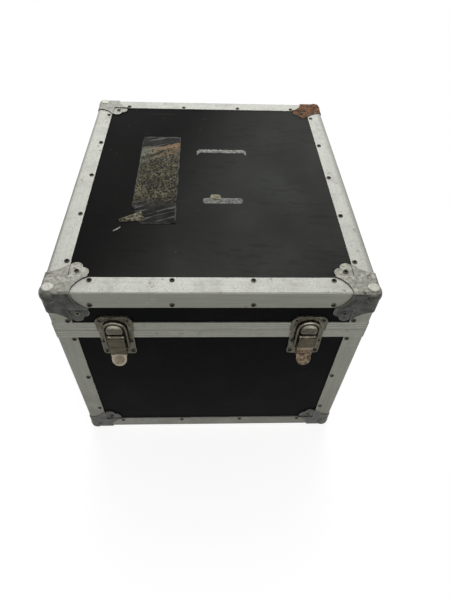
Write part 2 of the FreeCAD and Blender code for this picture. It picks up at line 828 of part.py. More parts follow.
# Foam lining
def make_foam():
    gap = S.foam_gap
    width = half_width - S.edge_inner_leg - gap
    depth = half_depth - S.edge_inner_leg - gap
    floor = z_bottom + inner_face
    ceiling = z_top - inner_face
    thick = S.foam_thick
    links = [Solid("floor_pad").box((-width, -depth, floor), (width, depth, floor + thick)).body]
    low = floor + thick + gap
    high = z_part - S.rim_inner_leg - gap
    inner = inner_face + thick
    window = S.dish_width / 2 + S.dish_wall + S.bail_tail + S.dish_play
    rise = S.dish_height / 2 + S.dish_wall + S.dish_play
    for name, half in (("front", width), ("back", width), ("left", half_depth - inner - gap),
                       ("right", half_depth - inner - gap)):
        face = FACES[name]
        pad = Solid(f"{name}_pad").box(face.spot(-half, low, -inner_face), face.spot(half, high, -inner))
        if name in ("left", "right"):
            pad.box(face.spot(-window, S.handle_height - rise, ZERO),
                    face.spot(window, S.handle_height + rise, -inner * 2), cut=True)
        links.append(pad.body)
    lining = doc.addObject("Part::Compound", "base_foam_lining")
    lining.Links = links
    keep("base_foam_lining", lining)
    lid = Solid("lid_pad").box((-width, -depth, ceiling - thick), (width, depth, ceiling))
    keep("lid_foam", lid.body)


# Rivets and the holes that they stand in
def spread(half, count):
    return [half * (2 * place / (count - 1) - 1) for place in range(count)]


def place_edge_rivets():
    across = spread(half_width - S.rivet_end, 4)
    deep = spread(half_depth - S.rivet_end, 5)
    line = S.edge_leg - S.rivet_inset
    tab = S.tab_rivet
    for part, level, flat, up in (("base", z_bottom, "bottom", 1), ("lid", z_top, "top", -1)):
        for name, half, run in (("front", half_width, across), ("back", half_width, across),
                                ("left", half_depth, deep), ("right", half_depth, deep)):
            face = FACES[name]
            for along in run:
                face.add_rivet(part, along, level + line * up)
            for side in (-1, 1):
                face.add_rivet(part, (half - tab) * side, level + tab * up, S.tab_proud)
                for height in post_rivets(part):
                    face.add_rivet(part, (half - line) * side, height)
        face = FACES[flat]
        for side in (-1, 1):
            for along in across:
                face.add_rivet(part, along, (half_depth - line) * side)
            for along in deep:
                face.add_rivet(part, (half_width - line) * side, along)
            for end in (-1, 1):
                face.add_rivet(part, (half_width - tab) * side, (half_depth - tab) * end, S.tab_proud)


def post_rivets(part):
    if part == "lid":
        return [z_lid + S.rim_leg + S.rivet_margin]
    low = z_bottom + S.post_rivet_foot
    high = z_part - S.rim_leg - S.rivet_margin
    return [low, (low + high) / 2, high]


def rivet_shape(grip):
    head = float(S.rivet_head)
    rise = float(S.rivet_rise)
    shank = float(S.rivet_shank)
    eye = float(S.rivet_eye)
    bed = rise - float(S.rivet_eye_depth)
    section = [(0, -grip), (shank, -grip), (shank, 0), (head, 0), (float(S.rivet_crown), rise), (eye, rise),
               (eye, bed), (0, bed), (0, -grip)]
    outline = Part.makePolygon([Vector(across, 0, up) for across, up in section])
    return Part.Face(outline).revolve(Vector(), AXES[2], 360)


def make_rivets():
    groups = {"base": [], "lid": []}
    play = float(S.rivet_play)
    for face in FACES.values():
        holes = []
        rotation = Rotation(AXES[2], face.outward)
        for part, places in face.rivets.items():
            for along, up, seat in places:
                spot = vector(face.spot(along, up, seat))
                grip = float(seat + S.edge_wall + S.rivet_bite)
                rivet = rivet_shape(grip)
                rivet.Placement = Placement(spot, rotation)
                groups[part].append(rivet)
                bottom = spot - face.outward * (grip + play)
                depth = grip + play + float(S.rivet_rise)
                holes.append(Part.makeCylinder(float(S.rivet_shank) + play, depth, bottom, face.outward))
        face.drills.Shape = Part.Compound(holes)
    for part, shapes in groups.items():
        rivets = doc.addObject("Part::Feature", f"{part}_rivets")
        rivets.Shape = Part.Compound(shapes)
        keep(f"{part}_rivets", rivets)


def main():
    make_panels()
    make_edges()
    make_posts()
    make_rims()
    make_corners()
    make_latches()
    make_hinges()
    for name in ("left", "right"):
        make_handle(name)
    make_foam()
    place_edge_rivets()
    make_rivets()
    doc.recompute()
    for target in doc.Objects:
        faults = [state for state in target.State if "Invalid" in state or "Error" in state]
        if faults:
            raise RuntimeError(f"{target.Label} did not build: {faults}")
    os.makedirs("parts", exist_ok=True)
    for label, target in nodes.items():
        shape = target.Shape
        if shape.isNull() or not shape.isValid():
            raise RuntimeError(f"{label} has no valid shape")
        shape.exportStep(f"parts/{label}.step")
    print(len(nodes), "nodes written")


main()
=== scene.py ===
"""Looks of a transport case with a hinged lid, two draw latches and two side handles."""

import logging
import math
import operator
from collections.abc import Callable, Iterable, Sequence
from dataclasses import dataclass
from enum import Enum
from functools import cached_property, reduce

import bmesh
import bpy
from bmesh.types import BMesh, BMVert
from bpy.types import ID, Material, Mesh, Node, NodeOutputs, NodeTree, Object, World
from bpy.types import NodeSocket as Socket
from mathutils import Matrix, Vector, noise


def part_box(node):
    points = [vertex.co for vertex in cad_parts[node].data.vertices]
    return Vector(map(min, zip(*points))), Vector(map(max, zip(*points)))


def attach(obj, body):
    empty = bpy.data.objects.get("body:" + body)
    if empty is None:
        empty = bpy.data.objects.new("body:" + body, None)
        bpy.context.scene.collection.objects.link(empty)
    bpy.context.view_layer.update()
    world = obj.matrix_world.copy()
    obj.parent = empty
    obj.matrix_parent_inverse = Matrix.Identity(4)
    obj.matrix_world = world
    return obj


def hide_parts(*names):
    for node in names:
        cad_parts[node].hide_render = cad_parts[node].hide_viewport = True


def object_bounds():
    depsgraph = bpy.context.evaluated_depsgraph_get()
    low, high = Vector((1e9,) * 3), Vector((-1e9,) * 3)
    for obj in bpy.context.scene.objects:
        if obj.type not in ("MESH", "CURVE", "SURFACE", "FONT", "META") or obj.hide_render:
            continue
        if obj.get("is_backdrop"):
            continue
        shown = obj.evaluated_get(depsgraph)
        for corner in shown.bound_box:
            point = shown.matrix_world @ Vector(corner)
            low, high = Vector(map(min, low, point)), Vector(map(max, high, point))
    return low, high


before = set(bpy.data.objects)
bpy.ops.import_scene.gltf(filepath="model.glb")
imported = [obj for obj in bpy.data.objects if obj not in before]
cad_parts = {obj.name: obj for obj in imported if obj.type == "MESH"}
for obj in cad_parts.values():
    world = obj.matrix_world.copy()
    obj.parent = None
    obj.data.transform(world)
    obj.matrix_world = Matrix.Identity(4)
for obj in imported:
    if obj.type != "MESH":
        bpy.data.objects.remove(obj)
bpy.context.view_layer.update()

LOG = logging.getLogger("transport_case")
MM = 0.001
X, Y, Z = range(3)
SIDES = ("front", "back", "left", "right")
CORNERS = ("front_left", "front_right", "back_left", "back_right")

Tone = tuple[float, float, float]
Flat = tuple[float, float]
Feed = Socket | float | Tone
Inputs = dict[str | int, object]
Place = Callable[[float, float], Vector]


class Run(Enum):
    """The way a rolled or drawn grain runs, as noise scales per metre along x, y and z."""

    ACROSS = (9.0, 700.0, 700.0)
    DEEP = (700.0, 9.0, 700.0)
    UPRIGHT = (700.0, 700.0, 9.0)
    NONE = (90.0, 90.0, 90.0)


class Facing(Enum):
    """The faces that a stain, painted shade or painted highlight settles on."""

    ANY = "any"
    UP = "up"
    SIDE = "side"


@dataclass(frozen=True)
class Zone:
    """Places past a plane, or before it where soft is negative, that are rubbed or stained."""

    axis: int
    limit: float
    soft: float


class Tree:
    """A node tree, with short calls for the nodes that finishes, rivets and studio share."""

    def __init__(self, tree: NodeTree) -> None:
        """Start with an empty tree."""
        tree.nodes.clear()
        self.tree = tree

    def feed(self, node: Node, inputs: Inputs) -> None:
        """Link a node's inputs to sockets, or set them to plain values.

        Args:
            node: The node.
            inputs: A socket or a value for each input, by the input's name or place.
        """
        for key, value in inputs.items():
            target = node.inputs[key]
            if isinstance(value, Socket):
                self.tree.links.new(value, target)
            elif target.type == "RGBA":
                target.default_value = (*value, 1.0)
            else:
                target.default_value = value

    def node(self, kind: str, inputs: Inputs | None = None, **settings: object) -> Node:
        """Add a node.

        Args:
            kind: The node's type name.
            inputs: What its inputs are fed.
            **settings: Properties to set on it.

        Returns:
            The new node.
        """
        made = self.tree.nodes.new(kind)
        for name, value in settings.items():
            setattr(made, name, value)
        self.feed(made, inputs or {})
        return made

    def out(self, kind: str, inputs: Inputs | None = None, **settings: object) -> Socket:
        """Add a node and give its first output."""
        return self.node(kind, inputs, **settings).outputs[0]

    def math(self, operation: str, first: Feed, second: Feed = 0.0) -> Socket:
        """Do arithmetic on two numbers."""
        return self.out("ShaderNodeMath", {0: first, 1: second}, operation=operation)

    def times(self, *factors: Feed) -> Feed:
        """Multiply numbers or masks."""
        return reduce(lambda product, factor: self.math("MULTIPLY", product, factor), factors)

    def seen(self) -> Socket:
        """Give 1 for rays that show the background, straight or in a gloss.

        Returns:
            The mask.
        """
        path = self.node("ShaderNodeLightPath").outputs
        shiny = self.math("MAXIMUM", path["Is Glossy Ray"], path["Is Transmission Ray"])
        return self.math("MAXIMUM", path["Is Camera Ray"], shiny)


class Graph(Tree):
    """A material's node tree, with the patterns and masks that finishes share."""

    def __init__(self, name: str) -> None:
        """Start a material with one Principled shader.

        Args:
            name: Name of the material.
        """
        self.material = bpy.data.materials.new(name)
        self.material.use_nodes = True
        super().__init__(self.material.node_tree)
        self.shader = self.node("ShaderNodeBsdfPrincipled")
        self.output = self.node("ShaderNodeOutputMaterial", {"Surface": self.shader.outputs[0]})
        self.places = self.node("ShaderNodeTexCoord").outputs
        self.relief: Inputs = {}

    def ease(self, value: Feed, low: float, high: float) -> Socket:
        """Turn a number into a mask that goes smoothly from 0 at low to 1 at high."""
        inputs = {"Value": value, "From Min": low, "From Max": high}
        return self.out("ShaderNodeMapRange", inputs, interpolation_type="SMOOTHSTEP")

    def blend(self, share: Feed, first: Feed, second: Feed) -> Socket:
        """Mix two tones or two numbers, whose sockets have different places on the node.

        Args:
            share: How much of the second shows.
            first: Tone or number where the share is 0.
            second: Tone or number where the share is 1.

        Returns:
            The mixed tone or number.
        """
        is_tone = any(isinstance(one, tuple) or getattr(one, "type", "") == "RGBA" for one in (first, second))
        kind, start, result = ("RGBA", 6, 2) if is_tone else ("FLOAT", 2, 0)
        mixed = self.node("ShaderNodeMix", {0: share, start: first, start + 1: second}, data_type=kind)
        return mixed.outputs[result]

    def noise(self, scales: Sequence[float], detail: float = 3.0, shift: float = 0.0,
              turn: float = 0.0) -> Socket:
        """Give soft noise from 0 to 1 at the surface's own places.

        Args:
            scales: Patches per metre along x, y and z.
            detail: Number of finer layers.
            shift: Moves the pattern, so that two layers differ.
            turn: Angle about z that the pattern is turned by.

        Returns:
            The noise.
        """
        places = self.places["Object"]
        if turn:
            places = self.out("ShaderNodeMapping", {"Vector": places, "Rotation": (0, 0, -turn)})
        moved = (shift, shift * 0.7, shift * 1.3)
        stretched = self.out("ShaderNodeMapping", {"Vector": places, "Scale": scales, "Location": moved})
        return self.out("ShaderNodeTexNoise", {"Vector": stretched, "Scale": 1.0, "Detail": detail})

    def axes(self, source: str) -> NodeOutputs:
        """Give the separate parts of one of the surface's coordinates."""
        return self.node("ShaderNodeSeparateXYZ", {0: self.places[source]}).outputs

    def facing(self, way: Facing) -> Feed:
        """Give a mask of the faces that look up or sideways when the case is closed.

        Args:
            way: The faces to keep.

        Returns:
            The mask, or 1 for all faces.
        """
        if way is Facing.ANY:
            return 1.0
        height = self.axes("Normal")[Z]
        if way is Facing.UP:
            return self.ease(height, 0.25, 0.9)
        return self.ease(self.math("ABSOLUTE", height), 0.9, 0.3)

    def beyond(self, zones: Sequence[Zone]) -> Feed:
        """Give a mask of the places in any of some zones.

        Args:
            zones: The zones.

        Returns:
            The mask, or 1 where there are no zones.
        """
        if not zones:
            return 1.0
        places = self.axes("Object")
        mask: Feed = 0.0
        for zone in zones:
            past = self.ease(places[zone.axis], zone.limit, zone.limit + zone.soft)
            mask = self.math("MAXIMUM", past, mask)
        return mask

    def sheet_rim(self, across_reach: float, along_reach: float) -> Socket:
        """Give a mask along the borders of a sheet, by its own width and length.

        Args:
            across_reach: Share of the width that the side borders take.
            along_reach: Share of the length that the end borders take.

        Returns:
            The mask.
        """
        masks = []
        for share, reach in zip(self.axes("UV"), (across_reach, along_reach)):
            inner = self.math("MINIMUM", share, self.math("SUBTRACT", 1.0, share))
            masks.append(self.ease(inner, reach, 0.0))
        return self.math("MAXIMUM", *masks)

    def raise_by(self, height: Feed, depth: float, strength: float = 1.0) -> None:
        """Add relief to the surface, on top of any that it has.

        Args:
            height: The height pattern.
            depth: Its depth in metres.
            strength: How much of it shows.
        """
        inputs = {"Height": height, "Distance": depth, "Strength": strength, **self.relief}
        self.relief = {"Normal": self.out("ShaderNodeBump", inputs)}

    def finish(self, tone: Feed, rough: Feed, gloss: float, metal: Feed = 0.0) -> Material:
        """Feed the shader.

        Args:
            tone: Colour of the surface.
            rough: Its roughness.
            gloss: Specular level.
            metal: 1 for bare metal.

        Returns:
            The material.
        """
        self.feed(self.shader, {"Base Color": tone, "Roughness": rough, "Metallic": metal,
                                "Specular IOR Level": gloss, **self.relief})
        return self.material


@dataclass(frozen=True)
class StainOrPaintedLight:
    """Dust, grime, tarnish or rust that lies on a finish, or painted shade or highlight laid over it, in
    patches unless it covers all.
    """

    tone: Tone
    second: Tone
    rough: float
    cover: float = 1.0
    patch: float = 10 * MM
    metal: float = 0.0
    soft: float = 0.08
    strength: float = 1.0
    facing: Facing = Facing.ANY
    shift: float = 0.0
    pitted: float = 0.0
    zones: tuple[Zone, ...] = ()

    def mask(self, graph: Graph) -> Feed:
        """Work out where the stain or painted light lies.

        Args:
            graph: The material that it goes into.

        Returns:
            Its mask.
        """
        patches: Feed = 1.0
        if self.cover < 1.0:
            edge = 0.72 - 0.44 * self.cover
            cloud = graph.noise((1 / self.patch,) * 3, detail=4, shift=self.shift)
            patches = graph.ease(cloud, edge - self.soft, edge + self.soft)
        return graph.times(patches, graph.facing(self.facing), graph.beyond(self.zones), self.strength)


@dataclass(frozen=True)
class Wear:
    """Bright metal or bare core along rubbed edges."""

    tone: Tone
    reach: float
    strength: float
    zones: tuple[Zone, ...] = ()
    is_broken: bool = True

    def mask(self, graph: Graph) -> Feed:
        """Work out where the wear shows, along sharp edges.

        Args:
            graph: The material that it goes into.

        Returns:
            Its mask.
        """
        rounded = graph.out("ShaderNodeBevel", {"Radius": self.reach}, samples=6)
        flat = graph.node("ShaderNodeNewGeometry").outputs["Normal"]
        likeness = graph.node("ShaderNodeVectorMath", {0: rounded, 1: flat}, operation="DOT_PRODUCT")
        edges = graph.ease(likeness.outputs["Value"], 0.995, 0.9)
        if self.is_broken:
            edges = graph.times(edges, graph.ease(graph.noise((70, 70, 70), detail=4, shift=3.1), 0.35, 0.6))
        return graph.times(edges, self.strength, graph.beyond(self.zones))


@dataclass(frozen=True)
class Finish:
    """One surface of the case: a ground tone, its grain, stains, painted shade and highlights, and wear."""

    name: str
    tone: Tone
    rough: float
    metal: float = 0.0
    gloss: float = 0.5
    grain: Run = Run.NONE
    spread: float = 0.15
    depth: float = 0.0
    stains_and_painted_light: tuple[StainOrPaintedLight, ...] = ()
    wear: Wear | None = None

    def material(self) -> Material:
        """Build the finish once, and give it again when it is asked for again."""
        return bpy.data.materials.get(self.name) or self._build()

    def _build(self) -> Material:
        """Lay the ground, the stains and painted light, and the wear over each other.

        Returns:
            The material.
        """
        graph = Graph(self.name)
        grain = graph.noise(self.grain.value, detail=4)
        light = tuple(min(1.0, part * (1 + self.spread)) for part in self.tone)
        dark = tuple(part * (1 - self.spread) for part in self.tone)
        tone = graph.blend(graph.ease(grain, 0.3, 0.7), dark, light)
        rough: Feed = graph.blend(grain, self.rough * 0.82, min(1.0, self.rough * 1.18))
        metal: Feed = self.metal
        if self.depth:
            graph.raise_by(grain, self.depth, 0.6)
        for stain_or_light in self.stains_and_painted_light:
            mask = stain_or_light.mask(graph)
            speckle = grain
            if stain_or_light.cover < 1.0:
                speckle = graph.noise((4 / stain_or_light.patch,) * 3, detail=5, shift=stain_or_light.shift + 11)
            shade = graph.blend(graph.ease(speckle, 0.35, 0.65), stain_or_light.tone, stain_or_light.second)
            tone = graph.blend(mask, tone, shade)
            rough = graph.blend(mask, rough, stain_or_light.rough)
            if stain_or_light.metal != self.metal:
                metal = graph.blend(mask, metal, stain_or_light.metal)
            if stain_or_light.pitted:
                graph.raise_by(graph.times(mask, speckle), stain_or_light.pitted)
        if self.wear:
            tone = graph.blend(self.wear.mask(graph), tone, self.wear.tone)
        return graph.finish(tone, rough, self.gloss, metal)


# Tones that several finishes share
WHITE: Tone = (1.0, 1.0, 1.0)
BRIGHT_METAL: Tone = (0.66, 0.66, 0.61)
RUST_DARK: Tone = (0.050, 0.022, 0.012)
RUST_LIGHT: Tone = (0.32, 0.145, 0.056)
DUST: Tone = (0.096, 0.100, 0.093)
DUST_LIGHT: Tone = (0.085, 0.083, 0.076)


def rolled_aluminium(run: Run, borders: tuple[Zone, ...]) -> Finish:
    """Give the edge extrusions' finish.

    Args:
        run: The way the extrusion runs.
        borders: Where hands and straps have dulled the top.

    Returns:
        Satin aluminium, with painted shade that makes it dull and olive where it stands upright.
    """
    scuff = StainOrPaintedLight((0.27, 0.27, 0.245), (0.58, 0.58, 0.535), rough=0.46, cover=0.5, patch=8 * MM, metal=0.5,
                  soft=0.16, strength=0.6, facing=Facing.UP, shift=3.0)
    # Painted shade: faces that stand upright are darkened and tinted olive in place of the shade the light
    # gives them
    side_shade = StainOrPaintedLight((0.322, 0.327, 0.268), (0.392, 0.397, 0.330), rough=0.5, metal=0.25, strength=0.94,
                 facing=Facing.SIDE)
    grime = StainOrPaintedLight((0.195, 0.180, 0.148), (0.275, 0.258, 0.215), rough=0.55, metal=0.2, strength=0.55,
                  facing=Facing.SIDE, zones=(Zone(Z, 200 * MM, -160 * MM),))
    smudge = StainOrPaintedLight((0.27, 0.27, 0.245), (0.40, 0.40, 0.37), rough=0.5, cover=0.34, patch=30 * MM, metal=0.5,
                   soft=0.14, strength=0.5, shift=4.0)
    handled = StainOrPaintedLight((0.22, 0.225, 0.195), (0.31, 0.315, 0.28), rough=0.5, metal=0.4, strength=0.75,
                    facing=Facing.UP, zones=borders)
    spots = StainOrPaintedLight((0.13, 0.11, 0.08), (0.22, 0.19, 0.14), rough=0.6, cover=0.06, patch=10 * MM, metal=0.3,
                  soft=0.05, strength=0.6, shift=9.0)
    return Finish(f"rolled_aluminium_{run.name.lower()}", (0.455, 0.459, 0.415), rough=0.48, metal=0.55,
                  grain=run, spread=0.11, depth=0.02 * MM,
                  stains_and_painted_light=(scuff, side_shade, grime, smudge, handled, spots),
                  wear=Wear(BRIGHT_METAL, reach=0.9 * MM, strength=0.75))


def zinc_steel(name: str, rust: float, flake: float, pads: tuple[Zone, ...]) -> Finish:
    """Give a ball corner's finish.

    Args:
        name: Name of the finish.
        rust: Share of the corner that has rusted.
        flake: Size of the rust patches.
        pads: The flats of the ball, which are rubbed bright.

    Returns:
        Grey zinc plate, darker where it stands upright, with its rust.
    """
    # Painted shade: the ball's upright faces are darkened in place of the shade the light gives them
    side_shade = StainOrPaintedLight((0.024, 0.026, 0.022), (0.062, 0.064, 0.056), rough=0.34, metal=0.8, strength=0.95,
                 facing=Facing.SIDE)
    bloom = StainOrPaintedLight((0.15, 0.15, 0.132), (0.42, 0.41, 0.35), rough=0.42, cover=0.5, patch=21 * MM, metal=0.6,
                  soft=0.18, strength=0.8, facing=Facing.UP, shift=2.0)
    rubbed = StainOrPaintedLight((0.50, 0.49, 0.42), (0.74, 0.73, 0.65), rough=0.4, cover=0.8, patch=7 * MM, metal=0.35,
                   soft=0.2, strength=0.95, zones=pads)
    eaten = StainOrPaintedLight(RUST_DARK, RUST_LIGHT, rough=0.85, cover=rust, patch=flake, soft=0.06, shift=6.0,
                  pitted=0.35 * MM)
    return Finish(name, (0.145, 0.145, 0.128), rough=0.30, metal=0.85, spread=0.18,
                  stains_and_painted_light=(side_shade, bloom, rubbed, eaten),
                  wear=Wear((0.50, 0.50, 0.46), reach=1.2 * MM, strength=0.6))


def old_nickel(name: str, tone: Tone, rust: StainOrPaintedLight, highlight: float, wear: Wear,
               rubbed: tuple[StainOrPaintedLight, ...] = ()) -> Finish:
    """Give a latch's finish.

    Args:
        name: Name of the finish.
        tone: Its plating.
        rust: The rust on it.
        highlight: Strength of the highlight painted on its upper faces.
        wear: Its rubbed edges.
        rubbed: Where fingers keep it bright.

    Returns:
        Dull nickel plate with brown tarnish, rust and a highlight painted on its upper faces.
    """
    dark = tuple(part * 0.4 for part in tone)
    light = tuple(part * 1.25 for part in tone)
    tarnish = StainOrPaintedLight(dark, light, rough=0.4, cover=0.5, patch=12 * MM, metal=0.8, soft=0.14, strength=0.8,
                    shift=1.0)
    # Painted highlight: upper faces are lightened as if lit from above
    painted_highlight = StainOrPaintedLight((0.34, 0.33, 0.27), (0.66, 0.64, 0.53), rough=0.25, metal=0.9, strength=highlight,
                  facing=Facing.UP)
    return Finish(name, tone, rough=0.26, metal=0.9, spread=0.18, stains_and_painted_light=(tarnish, painted_highlight, *rubbed, rust),
                  wear=wear)


SIDE_FACING = Finish(
    "faced_ply", (0.0048, 0.0054, 0.0051), rough=0.5, gloss=0.02, spread=0.25, depth=0.02 * MM,
    stains_and_painted_light=(StainOrPaintedLight(DUST, DUST_LIGHT, rough=0.7, cover=0.22, patch=50 * MM, soft=0.2, strength=0.08),),
    wear=Wear((0.045, 0.042, 0.038), reach=0.8 * MM, strength=0.5))
STEEL = Finish(
    "plated_steel", (0.33, 0.33, 0.315), rough=0.36, metal=0.75, spread=0.06,
    stains_and_painted_light=(StainOrPaintedLight((0.19, 0.185, 0.17), (0.27, 0.265, 0.25), rough=0.46, cover=0.42, patch=12 * MM, metal=0.6,
                  soft=0.2, strength=0.35),
            StainOrPaintedLight(RUST_DARK, (0.20, 0.085, 0.036), rough=0.8, cover=0.10, patch=10 * MM, soft=0.06,
                  strength=0.8, shift=7.0)),
    wear=Wear(BRIGHT_METAL, reach=0.8 * MM, strength=0.7))
RIVET_CROWN = Finish(
    "rivet_crown", (0.20, 0.175, 0.14), rough=0.4, metal=0.6, spread=0.2,
    stains_and_painted_light=(StainOrPaintedLight((0.028, 0.022, 0.016), (0.085, 0.066, 0.046), rough=0.6, cover=0.66, patch=30 * MM,
                  metal=0.3, soft=0.2, strength=0.9),))
# Near-black floor of each rivet's eye: painted shade of the hollow, with a rusty brown cast
RIVET_EYE_SHADE = Finish("rivet_eye", (0.014, 0.010, 0.008), rough=0.85, gloss=0.1, spread=0.5)
RUBBER = Finish(
    "grip_rubber", (0.012, 0.012, 0.012), rough=0.62, gloss=0.3, spread=0.3, depth=0.15 * MM,
    stains_and_painted_light=(StainOrPaintedLight(DUST, DUST_LIGHT, rough=0.8, cover=0.35, patch=20 * MM, soft=0.15, strength=0.4),))


@dataclass(frozen=True)
class LidFacing:
    """The scuffed and dusty facing of the lid's top, with a painted sheen towards its right."""

    name: str = "lid_facing"
    tone: Tone = (0.0060, 0.0063, 0.0058)
    scratch: Tone = (0.12, 0.12, 0.115)
    nick: Tone = (0.10, 0.098, 0.09)
    rough: float = 0.5
    gloss: float = 0.012
    # How far the painted sheen leans towards the front
    sheen_slant: float = 0.35

    def material(self) -> Material:
        """Lay dust, a painted sheen that grows towards the right and front, long scratches and small nicks
        over the black facing.

        Returns:
            The material.
        """
        graph = Graph(self.name)
        fine = graph.noise((260, 260, 260), detail=4)
        cloud = graph.ease(graph.noise((9, 6, 9), detail=4, shift=2.0), 0.30, 0.75)
        across, deep, _ = graph.axes("Object")
        # Painted sheen: the dust tone thickens towards the right and front in place of a reflection; the
        # patches within it are dust
        sheen_ramp = graph.ease(graph.math("SUBTRACT", across, graph.times(deep, self.sheen_slant)), -0.14, 0.10)
        rubs = graph.ease(graph.noise((34, 130, 1), detail=5, shift=4.0, turn=-0.12), 0.50, 0.64)
        rubbed = graph.times(rubs, graph.ease(graph.noise((8, 10, 1), shift=6.0), 0.42, 0.62))
        patchy = graph.times(graph.blend(cloud, 0.6, 1.0), graph.blend(rubbed, 1.0, 0.8))
        dust_and_sheen = graph.times(graph.blend(sheen_ramp, 0.10, 1.0), patchy)
        # The dust tone carries both the real dust and the painted sheen
        tone = graph.blend(dust_and_sheen, self.tone, DUST)
        lines = graph.ease(graph.noise((7, 520, 1), detail=2, shift=5.0), 0.66, 0.72)
        where = graph.ease(graph.noise((11, 14, 1), detail=2, shift=8.0), 0.56, 0.66)
        tone = graph.blend(graph.times(lines, where, 0.6), tone, self.scratch)
        nicks = graph.ease(graph.noise((120, 95, 1), shift=1.0), 0.70, 0.76)
        tone = graph.blend(graph.times(nicks, 0.7), tone, self.nick)
        rough = graph.blend(cloud, self.rough * 0.9, self.rough * 1.25)
        graph.raise_by(fine, 0.02 * MM, 0.5)
        return graph.finish(tone, rough, self.gloss)


def dress(nodes: Iterable[str], material: Material) -> None:
    """Put a finish on CAD pieces.

    Args:
        nodes: Names of the pieces.
        material: Their finish.
    """
    for name in nodes:
        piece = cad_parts[name]
        if not piece.material_slots:
            piece.data.materials.append(material)
        for place in piece.material_slots:
            place.material = material
        LOG.info("dressed %s in %s", name, material.name)


def add_object(name: str, data: ID) -> Object:
    """Put a new object into the scene.

    Args:
        name: Name of the object.
        data: Its mesh, lamp or camera.

    Returns:
        The object.
    """
    made = bpy.data.objects.new(name, data)
    bpy.context.scene.collection.objects.link(made)
    return made


def link_piece(name: str, mesh: Mesh, material: Material | None = None) -> Object:
    """Put a new piece into the scene.

    Args:
        name: Name of the piece.
        mesh: Its mesh, in place.
        material: Its finish, unless the mesh has its own.

    Returns:
        The new object.
    """
    piece = add_object(name, mesh)
    if material is not None:
        mesh.materials.append(material)
    mesh.polygons.foreach_set("use_smooth", [True] * len(mesh.polygons))
    LOG.info("made %s with %d faces", name, len(mesh.polygons))
    return piece


def baked(piece: Object) -> Mesh:
    """Give a piece's mesh with its modifiers applied."""
    depsgraph = bpy.context.evaluated_depsgraph_get()
    return bpy.data.meshes.new_from_object(piece.evaluated_get(depsgraph), depsgraph=depsgraph)


def plain_mesh(name: str, part: BMesh) -> Mesh:
    """Turn a mesh that was being edited into a plain one.

    Args:
        name: Name of the plain mesh.
        part: The edited mesh, which is freed.

    Returns:
        The plain mesh.
    """
    mesh = bpy.data.meshes.new(name)
    part.to_mesh(mesh)
    part.free()
    return mesh


def solid_parts(node: str) -> list[BMesh]:
    """Split a CAD node into its separate solids, in the same order each run.

    Args:
        node: Name of the node.

    Returns:
        One merged mesh for each solid.
    """
    whole = bmesh.new()
    whole.from_mesh(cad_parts[node].data)
    bmesh.ops.remove_doubles(whole, verts=whole.verts, dist=0.001 * MM)
    parts = []
    copies: dict[BMVert, BMVert] = {}
    for first in whole.verts:
        if first in copies:
            continue
        part = bmesh.new()
        copies[first] = part.verts.new(first.co)
        island = [first]
        # The list grows while it is walked
        for vert in island:
            for edge in vert.link_edges:
                other = edge.other_vert(vert)
                if other not in copies:
                    copies[other] = part.verts.new(other.co)
                    island.append(other)
        for face in dict.fromkeys(face for vert in island for face in vert.link_faces):
            part.faces.new([copies[vert] for vert in face.verts])
        parts.append(part)
    whole.free()
    return parts


def mesh_box(part: BMesh) -> tuple[Vector, Vector]:
    """Give a mesh's lowest and highest corners."""
    axes = [[vert.co[axis] for vert in part.verts] for axis in (X, Y, Z)]
    return Vector(min(axis) for axis in axes), Vector(max(axis) for axis in axes)


def span_grid(part: BMesh, columns: int, rows: int, place: Place) -> None:
    """Span a sheet of square faces.

    Args:
        part: The mesh that the sheet goes into.
        columns: Faces across it.
        rows: Faces along it.
        place: Gives a point of the sheet at a share of its width and length.
    """
    grid = [[part.verts.new(place(column / columns, row / rows)) for row in range(rows + 1)]
            for column in range(columns + 1)]
    for left, right in zip(grid, grid[1:]):
        for row in range(rows):
            part.faces.new([left[row], right[row], right[row + 1], left[row + 1]])
    part.verts.index_update()


class Panels:
    """The faced plywood panels."""

    def dress(self) -> None:
        """Give the lid's top its scuffs, and the other panels the plain facing."""
        sides = [f"{part}_{side}_panel" for part in ("base", "lid") for side in SIDES]
        dress([*sides, "base_floor_panel"], SIDE_FACING.material())
        dress(["lid_top_panel"], LidFacing().material())


@dataclass
class EdgeFrame:
    """The edge extrusions, corner posts and rims."""

    border: float = 14 * MM
    fade: float = 8 * MM
    left_border: float = 10 * MM
    left_fade: float = 4 * MM

    def dress(self) -> None:
        """Run the grain of each extrusion along it."""
        low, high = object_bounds()
        borders = (Zone(X, high.x - self.border, self.fade),
                   Zone(X, low.x + self.left_border, -self.left_fade),
                   Zone(Y, high.y - self.border, self.fade))
        for side in SIDES:
            run = Run.ACROSS if side in ("front", "back") else Run.DEEP
            names = [f"{stem}_{side}" for stem in ("lid_top_edge", "base_bottom_edge", "lid_rim", "base_rim")]
            dress(names, rolled_aluminium(run, borders).material())
        dress(["base_corner_posts", "lid_corner_posts"], rolled_aluminium(Run.UPRIGHT, borders).material())


@dataclass
class BallCorners:
    """The eight pressed ball corners, one of them rusted through its plating."""

    rusted: str = "lid_corner_back_right"
    light_rust: float = 0.06
    heavy_rust: float = 0.86
    light_flake: float = 9 * MM
    heavy_flake: float = 26 * MM
    pad_depth: float = 0.9 * MM
    pad_fade: float = 0.8 * MM

    def dress(self) -> None:
        """Plate all corners, and rust the one that is brown."""
        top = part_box(self.rusted)[1].z
        pads = (Zone(Z, top - self.pad_depth, self.pad_fade), Zone(Z, self.pad_depth, -self.pad_fade))
        plated = zinc_steel("zinc_steel", self.light_rust, self.light_flake, pads).material()
        brown = zinc_steel("rusted_zinc", self.heavy_rust, self.heavy_flake, pads).material()
        for name in [f"{part}_corner_{corner}" for part in ("base", "lid") for corner in CORNERS]:
            dress([name], brown if name == self.rusted else plated)


